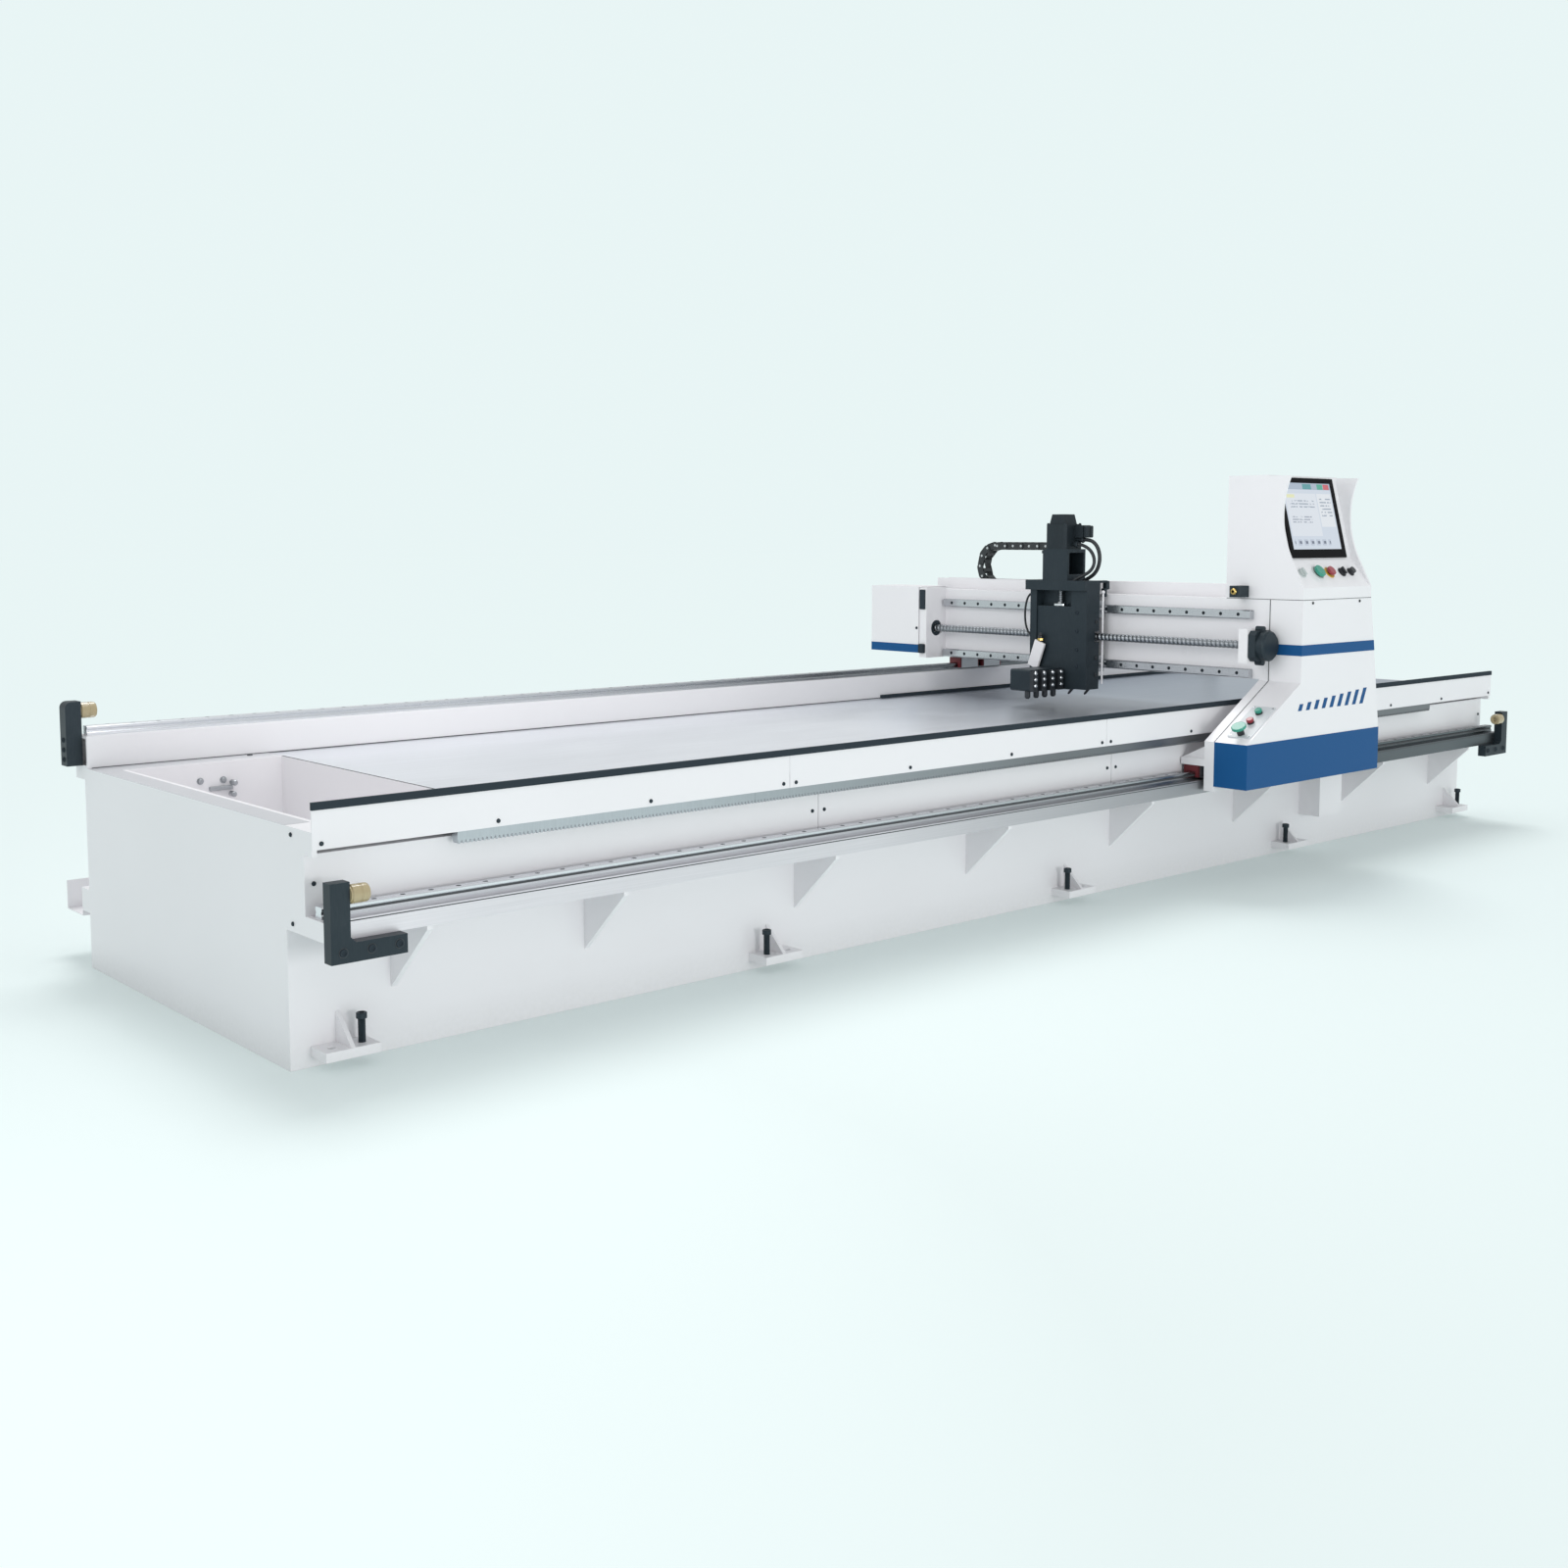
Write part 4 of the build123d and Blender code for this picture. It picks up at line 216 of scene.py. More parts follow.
class Shader(Nodes):
    """One material's nodes, with a Principled shader to feed."""

    def __init__(self, name: str) -> None:
        """Make the material and its Principled shader."""
        self.material = bpy.data.materials.new(name)
        self.material.use_nodes = True
        super().__init__(self.material.node_tree)
        self.surface = self.tree.nodes["Principled BSDF"]
        self.place = self.node("TexCoord").outputs["Object"]

    def set(self, **sockets: Any) -> None:
        """Feed the Principled shader; a name's underscores are the socket's spaces."""
        for name, value in sockets.items():
            self.feed(self.surface.inputs[name.replace("_", " ")], value)

    def axes(self) -> tuple[Signal, ...]:
        """Return the piece's own X, Y and Z."""
        parts = self.node("SeparateXYZ", inputs={0: self.place}).outputs
        return tuple(Signal(self.tree, part) for part in parts)

    def noise(self, stretch: Union[float, Point], detail: float = 3.0, distortion: float = 0.0) -> Signal:
        """Return noise from 0 to 1.

        Args:
            stretch: how many features there are to a metre, for all ways or along X, Y and Z.
            detail: how many octaves it has.
            distortion: how far it is pulled about.

        Returns:
            The noise's value.
        """
        scale = stretch if isinstance(stretch, tuple) else (stretch, stretch, stretch)
        spread = self.node("Mapping", {"vector_type": "POINT"}, {"Vector": self.place, "Scale": scale})
        settings = {"noise_dimensions": "3D"}
        inputs = {"Vector": spread.outputs[0], "Scale": 1.0, "Detail": detail, "Distortion": distortion}
        return Signal(self.tree, self.node("TexNoise", settings, inputs).outputs[0])

    def mix(self, factor: Operand, first: Any, second: Any) -> Signal:
        """Return a colour between two, or a pattern laid over a colour."""
        settings = {"data_type": "RGBA", "clamp_factor": True}
        return Signal(self.tree, self.node("Mix", settings, {0: factor, 6: first, 7: second}).outputs[2])

    def bump(self, height: Signal, strength: float, distance: float) -> None:
        """Raise the surface by a height pattern, with a distance in metres."""
        inputs = {"Strength": strength, "Distance": distance, "Height": height}
        self.set(Normal=self.node("Bump", inputs=inputs).outputs[0])


def shade(colour: Colour, factor: float) -> Colour:
    """Return a colour made lighter or darker."""
    return (colour[0] * factor, colour[1] * factor, colour[2] * factor)


@dataclass(frozen=True)
class PowderCoat:
    """Powder coat: fine orange peel, faint clouding, and dust that gathers near the floor."""

    name: str
    colour: Colour
    roughness: float = 0.36
    peel: float = 900.0
    dust: Colour = (0.60, 0.60, 0.58)
    dust_top: float = 0.10
    coat: float = 0.25
    gloss: float = 0.5

    def material(self) -> bpy.types.Material:
        """Build the finish."""
        shader = Shader(self.name)
        height = shader.axes()[2]
        cloud = shader.noise(1.6, detail=4.0)
        fine = shader.noise(70.0, detail=5.0)
        peel = shader.noise(self.peel, detail=2.0)
        low = (1.0 - height / self.dust_top).clipped() * fine
        base = shader.mix(cloud, shade(self.colour, 0.965), shade(self.colour, 1.02))
        shader.set(
            Base_Color=shader.mix(low * 0.35, base, self.dust),
            Roughness=fine * 0.10 + low * 0.2 + (self.roughness - 0.05),
            Coat_Weight=self.coat,
            Coat_Roughness=0.18,
            Specular_IOR_Level=self.gloss,
        )
        shader.bump(peel, strength=0.10, distance=0.0004)
        return shader.material


@dataclass(frozen=True)
class GroundSteel:
    """Ground or milled steel: a grain along the cut, stains, and a painted dark reflection and shade that
    grows towards one end and is weaker above a height.
    """

    name: str
    colour: Colour
    roughness: float = 0.30
    grain: Point = (4.0, 500.0, 500.0)
    stain: float = 0.10
    painted_dark_span: tuple[float, float] = (8.0, 9.0)
    painted_dark_colour: Colour = (0.2, 0.2, 0.2)
    painted_dark_top: float = 9.0
    painted_dark_ease_above: float = 0.55
    metallic: float = 1.0

    def material(self) -> bpy.types.Material:
        """Build the finish."""
        shader = Shader(self.name)
        grain = shader.noise(self.grain, detail=4.0)
        cloud = shader.noise(2.2, detail=5.0, distortion=0.6)
        base = shader.mix(grain, shade(self.colour, 0.86), shade(self.colour, 1.10))
        along, _, up = shader.axes()
        # Painted dark reflection and shade: the colour darkens along X over the given span, less above the
        # given height.
        painted_dark_ramp = (along - self.painted_dark_span[0]) / (self.painted_dark_span[1] - self.painted_dark_span[0])
        painted_dark = painted_dark_ramp.clipped() * (1.0 - (up > self.painted_dark_top) * self.painted_dark_ease_above)
        base = shader.mix(painted_dark, base, self.painted_dark_colour)
        shader.set(
            Base_Color=shader.mix(cloud * self.stain, base, shade(self.colour, 0.72)),
            Roughness=grain * 0.16 + cloud * 0.10 + (self.roughness - 0.13),
            Metallic=self.metallic,
        )
        shader.bump(grain, strength=0.12, distance=0.0003)
        return shader.material


@dataclass(frozen=True)
class DarkCoat:
    """Black oxide or paint on machined metal: fine tooling marks and greyed, oily patches."""

    name: str
    colour: Colour
    roughness: float = 0.42
    worn: Colour = (0.10, 0.12, 0.135)
    marks: Point = (300.0, 300.0, 40.0)
    metallic: float = 0.35
    gloss: float = 0.3

    def material(self) -> bpy.types.Material:
        """Build the finish."""
        shader = Shader(self.name)
        marks = shader.noise(self.marks, detail=3.0)
        cloud = shader.noise(9.0, detail=5.0, distortion=0.4)
        shader.set(
            Base_Color=shader.mix(cloud * marks, self.colour, self.worn),
            Roughness=marks * 0.14 + cloud * 0.12 + (self.roughness - 0.13),
            Metallic=self.metallic,
            Specular_IOR_Level=self.gloss,
        )
        shader.bump(marks, strength=0.08, distance=0.0003)
        return shader.material


@dataclass(frozen=True)
class Moulded:
    """Moulded plastic or rubber: an even skin with a fine texture and slight blooming."""

    name: str
    colour: Colour
    roughness: float = 0.45
    texture: float = 1500.0
    bloom: float = 0.25
    coat: float = 0.0
    gloss: float = 0.5

    def material(self) -> bpy.types.Material:
        """Build the finish."""
        shader = Shader(self.name)
        skin = shader.noise(self.texture, detail=2.0)
        bloom = shader.noise(25.0, detail=5.0)
        pale = tuple(channel * 0.8 + 0.03 for channel in self.colour)
        shader.set(
            Base_Color=shader.mix(bloom * self.bloom, self.colour, pale),
            Roughness=bloom * 0.12 + skin * 0.06 + (self.roughness - 0.09),
            Coat_Weight=self.coat,
            Specular_IOR_Level=self.gloss,
        )
        shader.bump(skin, strength=0.10, distance=0.0002)
        return shader.material


@dataclass(frozen=True)
class Pane:
    """One rectangle of the screen, in shares of its width and height; a pitch fills it with rows of bars."""

    across: tuple[float, float]
    rise: tuple[float, float]
    colour: Colour
    pitch: float = 0.0


@dataclass(frozen=True)
class ScreenFace:
    """A lit screen: pale panes, coloured blocks along the top, rows of bars and a row of keys."""

    name: str
    centre: Point
    up: Point
    width: float
    height: float
    ground: Colour = (0.66, 0.73, 0.82)
    glow: float = 0.85
    glass: Colour = (0.02, 0.02, 0.024)
    bar_share: float = 0.4
    bar_gap: float = 0.47
    key_pitch: float = 0.125
    panes: tuple[Pane, ...] = (
        Pane((0.04, 0.66), (0.20, 0.84), (0.76, 0.81, 0.87)),
        Pane((0.68, 0.97), (0.34, 0.84), (0.80, 0.84, 0.88)),
        Pane((0.08, 0.60), (0.62, 0.76), (0.34, 0.40, 0.48), 0.045),
        Pane((0.10, 0.50), (0.40, 0.50), (0.30, 0.34, 0.42), 0.040),
        Pane((0.72, 0.95), (0.50, 0.80), (0.36, 0.42, 0.50), 0.050),
        Pane((0.06, 0.22), (0.775, 0.825), (0.82, 0.84, 0.52)),
        Pane((0.0, 1.0), (0.90, 1.0), (0.42, 0.50, 0.60)),
        Pane((0.42, 0.60), (0.905, 0.985), (0.10, 0.34, 0.36)),
        Pane((0.72, 0.84), (0.905, 0.985), (0.08, 0.42, 0.30)),
        Pane((0.85, 0.97), (0.905, 0.985), (0.62, 0.12, 0.14)),
    )

    def material(self) -> bpy.types.Material:
        """Build the finish; places on the screen are shares of its width and height."""
        shader = Shader(self.name)
        x, y, z = shader.axes()
        across = (x - self.centre[0]) / self.width + 0.5
        along = (y - self.centre[1]) * self.up[1] + (z - self.centre[2]) * self.up[2]
        rise = along / self.height + 0.5
        colour: Any = self.ground
        for pane in self.panes:
            area = across.between(*pane.across) & rise.between(*pane.rise)
            if pane.pitch:
                ragged = shader.noise(60.0, detail=2.0)
                area = area & (((rise / pane.pitch) % 1.0) < self.bar_share) & (ragged > self.bar_gap)
            colour = shader.mix(area, colour, pane.colour)
        step = (across / self.key_pitch) % 1.0
        keys = across.between(0.06, 0.80) & rise.between(0.06, 0.15) & (step < 0.62)
        colour = shader.mix(keys, colour, (0.52, 0.58, 0.68))
        marks = keys & (step > 0.22) & rise.between(0.085, 0.125)
        colour = shader.mix(marks, colour, (0.16, 0.19, 0.25))
        shader.set(Base_Color=self.glass, Emission_Color=colour, Emission_Strength=self.glow, Roughness=0.12)
        return shader.material


class Finish(Enum):
    """The machine's finishes; one that the record's solids use has the name of their material slot."""

    WHITE = PowderCoat("white_paint", (0.868, 0.853, 0.873))
    GREY = PowderCoat("panel_grey", (0.640, 0.665, 0.690), 0.42)
    BLUE = PowderCoat("blue_paint", (0.010, 0.088, 0.252), 0.40, dust_top=0.01, coat=0.0, gloss=0.12)
    # These steels paint a dark reflection and shade that grows along X, over the span given to each.
    TABLE = GroundSteel("table_steel", (0.78, 0.80, 0.835), 0.33, grain=(3.0, 260.0, 260.0), stain=0.15,
                        painted_dark_span=(-0.5, 1.4), painted_dark_colour=(0.25, 0.30, 0.36))
    LEDGE = GroundSteel("ledge_steel", (0.77, 0.745, 0.775), 0.40, grain=(3.0, 300.0, 300.0), stain=0.18,
                        painted_dark_span=(-1.2, 1.7), painted_dark_colour=(0.085, 0.105, 0.115))
    RAIL = GroundSteel("rail_steel", (0.80, 0.82, 0.85), 0.24, grain=(3.0, 700.0, 700.0), stain=0.08,
                       painted_dark_span=(-1.8, 1.6), painted_dark_colour=(0.10, 0.12, 0.13), painted_dark_top=0.77)
    RACK = GroundSteel("rack_steel", (0.52, 0.56, 0.59), 0.38, grain=(500.0, 30.0, 30.0), stain=0.25,
                       painted_dark_span=(-1.9, -0.2), painted_dark_colour=(0.19, 0.20, 0.21))
    SCREW = GroundSteel("screw_steel", (0.30, 0.32, 0.34), 0.30, grain=(600.0, 600.0, 600.0))
    BLOCK = GroundSteel("carriage_steel", (0.45, 0.47, 0.49), 0.34, grain=(200.0, 200.0, 200.0), stain=0.15)
    TOOL = DarkCoat("tool_steel", (0.030, 0.034, 0.040), 0.34, worn=(0.09, 0.10, 0.11))
    BLACK = DarkCoat("black_paint", (0.018, 0.030, 0.039), 0.46, worn=(0.050, 0.064, 0.074))
    MOTOR = DarkCoat("motor_black", (0.014, 0.021, 0.027), 0.50, worn=(0.046, 0.060, 0.068))
    RUBBER = Moulded("black_rubber", (0.030, 0.042, 0.053), 0.70, texture=500.0, gloss=0.08)
    SEAL = Moulded("seal_red", (0.155, 0.012, 0.018), 0.50)
    BUFFER = Moulded("buffer_beige", (0.45, 0.36, 0.20), 0.22, texture=300.0, bloom=0.5, coat=0.8)
    BEZEL = Moulded("bezel_black", (0.003, 0.003, 0.004), 0.40, bloom=0.0, gloss=0.06)
    CHAIN = Moulded("chain_black", (0.020, 0.025, 0.028), 0.50)
    CABLE = Moulded("cable_black", (0.014, 0.018, 0.022), 0.48, texture=900.0)
    GREEN = Moulded("button_green", (0.020, 0.300, 0.210), 0.28, coat=0.3)
    RED = Moulded("button_red", (0.330, 0.024, 0.040), 0.28, coat=0.3)
    PALE = Moulded("switch_white", (0.560, 0.610, 0.600), 0.34)
    KNOB = Moulded("switch_black", (0.018, 0.020, 0.025), 0.36)
    YELLOW = Moulded("ring_yellow", (0.640, 0.360, 0.030), 0.36)
    BRIGHT = GroundSteel("bright_steel", (0.74, 0.76, 0.78), 0.22, grain=(40.0, 500.0, 500.0), stain=0.05)
    BRASS = GroundSteel("fitting_brass", (0.55, 0.40, 0.14), 0.26, grain=(300.0, 300.0, 300.0))
    PIN = Moulded("link_pin", (0.560, 0.600, 0.600), 0.40)
    # Dark joints, and painted shade laid as dark strips in grooves and gaps.
    SEAM = Moulded("seam_and_shade_dark", (0.060, 0.066, 0.072), 0.60)
    # Grey painted shade for the chip well's rim and the deck behind it.
    RIM_SHADE = PowderCoat("rim_shade_grey", (0.530, 0.535, 0.560), 0.42)


class Paints:
    """The materials, each built once, when a piece first asks for it."""

    def __init__(self) -> None:
        """Start with no material built."""
        self.built: dict[str, bpy.types.Material] = {}

    def of(self, finish: Any) -> bpy.types.Material:
        """Return the material of a finish, or of an Enum member that holds one."""
        recipe = finish.value if isinstance(finish, Finish) else finish
        if recipe.name not in self.built:
            self.built[recipe.name] = recipe.material()
        return self.built[recipe.name]


PAINTS = Paints()


class Toward(Enum):
    """Bases that turn a shell's own Z to face a way; the rows are its X, Y and Z."""

    DOWN = ((1, 0, 0), (0, -1, 0), (0, 0, -1))
    LEFT = ((0, -1, 0), (0, 0, 1), (-1, 0, 0))
    RIGHT = ((0, 1, 0), (0, 0, 1), (1, 0, 0))
    FRONT = ((1, 0, 0), (0, 0, 1), (0, -1, 0))
    BACK = ((-1, 0, 0), (0, 0, 1), (0, 1, 0))


@dataclass
class Shell:
    """A surface as points and groups of faces, before it becomes a mesh."""

    points: np.ndarray
    faces: list[np.ndarray]

    def at(self, places: Places, basis: Basis = None) -> "Shell":
        """Copy the shell to places.

        Args:
            places: one place or a list of places, in metres.
            basis: the way that the shell's Z is to face, three unit vectors for its X, Y and Z, or None.

        Returns:
            One shell with a copy at every place: each point is the place plus the turned point.
        """
        rows = basis.value if isinstance(basis, Toward) else basis
        turned = self.points if rows is None else self.points @ np.asarray(rows, float)
        spots = np.atleast_2d(np.asarray(places, float))
        points = (spots[:, None, :] + turned[None, :, :]).reshape(-1, 3)
        steps = np.arange(len(spots)) * len(self.points)
        faces = [(group[None] + steps[:, None, None]).reshape(-1, group.shape[1]) for group in self.faces]
        return Shell(points, faces)

    @staticmethod
    def joined(shells: Sequence["Shell"]) -> "Shell":
        """Return several shells as one."""
        starts = np.cumsum([0] + [len(shell.points) for shell in shells[:-1]])
        faces = [group + start for shell, start in zip(shells, starts) for group in shell.faces]
        return Shell(np.concatenate([shell.points for shell in shells]), faces)


def lattice(rows: int, columns: int) -> np.ndarray:
    """Return the quads of a grid that closes on itself along its rows."""
    row, column = np.meshgrid(np.arange(rows - 1), np.arange(columns), indexing="ij")
    start = row * columns + column
    side = row * columns + (column + 1) % columns
    return np.stack([start, side, side + columns, start + columns], -1).reshape(-1, 4)


def closed(grid: np.ndarray, rows: int, columns: int) -> Shell:
    """Return rows of points as a surface, with a flat face over the first row and the last."""
    rim = np.arange(columns)
    caps = np.stack([rim[::-1], rim + (rows - 1) * columns])
    return Shell(grid.reshape(-1, 3), [lattice(rows, columns), caps])


def turned_rows(reach: np.ndarray, heights: np.ndarray, angle: np.ndarray) -> np.ndarray:
    """Return rows of points about Z: (r cos u, r sin u, h), with one height to a row."""
    level = np.repeat(heights, len(angle), axis=1)
    return np.stack([reach * np.cos(angle), reach * np.sin(angle), level], -1)


def revolved(profile: Outline, segments: int = 24, facets: int = 0,
             faceted_rows: Sequence[int] = (), ring: bool = False) -> Shell:
    """Turn a profile about Z.

    Each point is (r cos u, r sin u, h), where r and h run along the profile and u round the axis. In a
    faceted row, r grows as 1 / cos of the angle from the nearest flat, which makes a polygon. The first
    and last rows are closed by flat faces.

    Args:
        profile: (radius, height) pairs, from the low end outside to the top or into a recess.
        segments: how many steps go round.
        facets: how many flats a faceted row has.
        faceted_rows: which rows of the profile are faceted.
        ring: whether the profile's end is joined to its start instead of closed.

    Returns:
        The closed surface.
    """
    line = np.asarray(profile, float)
    angle = np.linspace(0.0, 2 * pi, segments, endpoint=False)
    reach = np.repeat(line[:, :1], segments, axis=1)
    if facets:
        flat = (angle + pi / facets) % (2 * pi / facets) - pi / facets
        reach[list(faceted_rows)] /= np.cos(flat)
    grid = turned_rows(reach, line[:, 1:], angle)
    count = len(line)
    if ring:
        return Shell(grid.reshape(-1, 3), [lattice(count + 1, segments) % (count * segments)])
    return closed(grid, count, segments)


def extruded(outline: Outline, low: float, high: float, edge: float = 0.0) -> Shell:
    """Carry a closed outline up Z.

    Each point is the outline's point at one of the heights; near the ends the outline is drawn in towards
    its middle by the edge, which breaks the corner.

    Args:
        outline: (x, y) points, anticlockwise seen from above.
        low: the lower end.
        high: the upper end.
        edge: the size of the broken edge.

    Returns:
        The closed surface.
    """
    line = np.asarray(outline, float)
    middle = (line.max(0) + line.min(0)) / 2
    half = (line.max(0) - line.min(0)) / 2
    inner = middle + (line - middle) * (1 - edge / half)
    levels = [(line, low), (line, high)]
    if edge:
        levels = [(inner, low), (line, low + edge), (line, high - edge), (inner, high)]
    grid = np.concatenate([np.column_stack([ring, np.full(len(ring), level)]) for ring, level in levels])
    return closed(grid, len(levels), len(line))


def rectangle(width: float, height: float, corner: float = 0.0, steps: int = 4) -> np.ndarray:
    """Return a rectangle about the origin; each corner is a quarter circle of that radius."""
    if not corner:
        return np.array([(1, 1), (-1, 1), (-1, -1), (1, -1)]) * (width / 2, height / 2)
    turn = np.linspace(0, pi / 2, steps + 1)
    centres = np.array([(1, 1), (-1, 1), (-1, -1), (1, -1)]) * (width / 2 - corner, height / 2 - corner)
    angles = turn[None, :] + np.arange(4)[:, None] * pi / 2
    arcs = np.stack([np.cos(angles), np.sin(angles)], -1) * corner
    return (centres[:, None, :] + arcs).reshape(-1, 2)


def box(low: Point, high: Point, edge: float = 0.0, corner: float = 0.0) -> Shell:
    """Return a block between two corners: a rounded rectangle carried from its floor to its top."""
    middle = ((low[0] + high[0]) / 2, (low[1] + high[1]) / 2, 0.0)
    outline = rectangle(high[0] - low[0], high[1] - low[1], corner)
    return extruded(outline, low[2], high[2], edge).at(middle)


def threaded(radius: float, depth: float, lead: float, low: float, high: float, segments: int = 20,
             steps: int = 12, sharp: float = 1.0) -> Shell:
    """Return a screw along Z.

    The radius at angle u and height z is the outer radius less the depth times a wave of
    (u - 2 pi z / lead), raised to a power that narrows its groove.

    Args:
        radius: the outer radius.
        depth: how deep the groove is.
        lead: the rise of one turn.
        low: the lower end.
        high: the upper end.
        segments: steps round the screw.
        steps: steps along each turn.
        sharp: the power of the wave.

    Returns:
        The closed surface.
    """
    rows = max(2, int(steps * (high - low) / lead) + 1)
    rise = np.linspace(low, high, rows)
    angle = np.linspace(0.0, 2 * pi, segments, endpoint=False)
    wave = (0.5 + 0.5 * np.cos(angle[None, :] - 2 * pi * rise[:, None] / lead)) ** sharp
    return closed(turned_rows(radius - depth * wave, rise[:, None], angle), rows, segments)


def socket_screw(radius: float, height: float, key: float, segments: int = 24) -> Shell:
    """Return a cap screw's head: a turned cylinder with a broken edge and a six-sided socket in its top."""
    edge = 0.12 * radius
    depth = 0.55 * height
    profile = [(radius, 0.0), (radius, height - edge), (radius - edge, height), (key, height),
               (key, height - depth)]
    return revolved(profile, segments, 6, (3, 4))


def rail_screw() -> Shell:
    """Return the head of the screws that hold the rails."""
    return socket_screw(0.0064, 0.008, 0.003, 12)


def coupling(radius: float, low: float, high: float, slit: tuple[float, float]) -> Shell:
    """Return a clamped coupling along Z: a turned sleeve with broken edges and a slit round it."""
    edge = radius - 0.002
    groove = radius - 0.0025
    start, end = slit
    profile = [(edge, low), (radius, low + 0.002), (radius, start - 0.001), (groove, start),
               (groove, end), (radius, end + 0.001), (radius, high - 0.002), (edge, high)]
    return revolved(profile, 28)


def spread(along: np.ndarray, axis: int, place: Point) -> np.ndarray:
    """Return places along one axis, with the other two measures as given."""
    places = np.tile(np.array(place), (len(along), 1))
    places[:, axis] = along
    return places


def placed(name: str, data: Any) -> bpy.types.Object:
    """Return a new object in the scene that shows a mesh, curve, lamp or camera."""
    made = bpy.data.objects.new(name, data)
    bpy.context.scene.collection.objects.link(made)
    return made


def attach(made: bpy.types.Object, body: str | None, replaces: Sequence[str]) -> None:
    """Let an object ride on a body, if one is named, take a slot's finish and stand for solids."""
    if body:
        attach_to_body(made, body)
    if replaces:
        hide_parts(*replaces)


def piece(name: str, shells: Union[Shell, Sequence[Shell]], body: str | None, finish: Finish,
          replaces: Sequence[str] = ()) -> bpy.types.Object:
    """Make shells one mesh that rides on a body.

    Args:
        name: the piece's name.
        shells: its surface, or the surfaces that make it up, in place.
        body: the body that it moves with, or None to leave it on no body.
        finish: its finish.
        replaces: the solids that it stands for.

    Returns:
        The object, at the origin.
    """
    shell = shells if isinstance(shells, Shell) else Shell.joined(shells)
    mesh = bpy.data.meshes.new(name)
    mesh.from_pydata(shell.points.tolist(), [], [face for group in shell.faces for face in group.tolist()])
    mesh.shade_smooth()
    mesh.set_sharp_from_angle(angle=SHARP_ANGLE)
    mesh.materials.append(PAINTS.of(finish))
    made = placed(name, mesh)
    attach(made, body, replaces)
    LOG.info("%s on %s, %d faces", name, body, len(mesh.polygons))
    return made


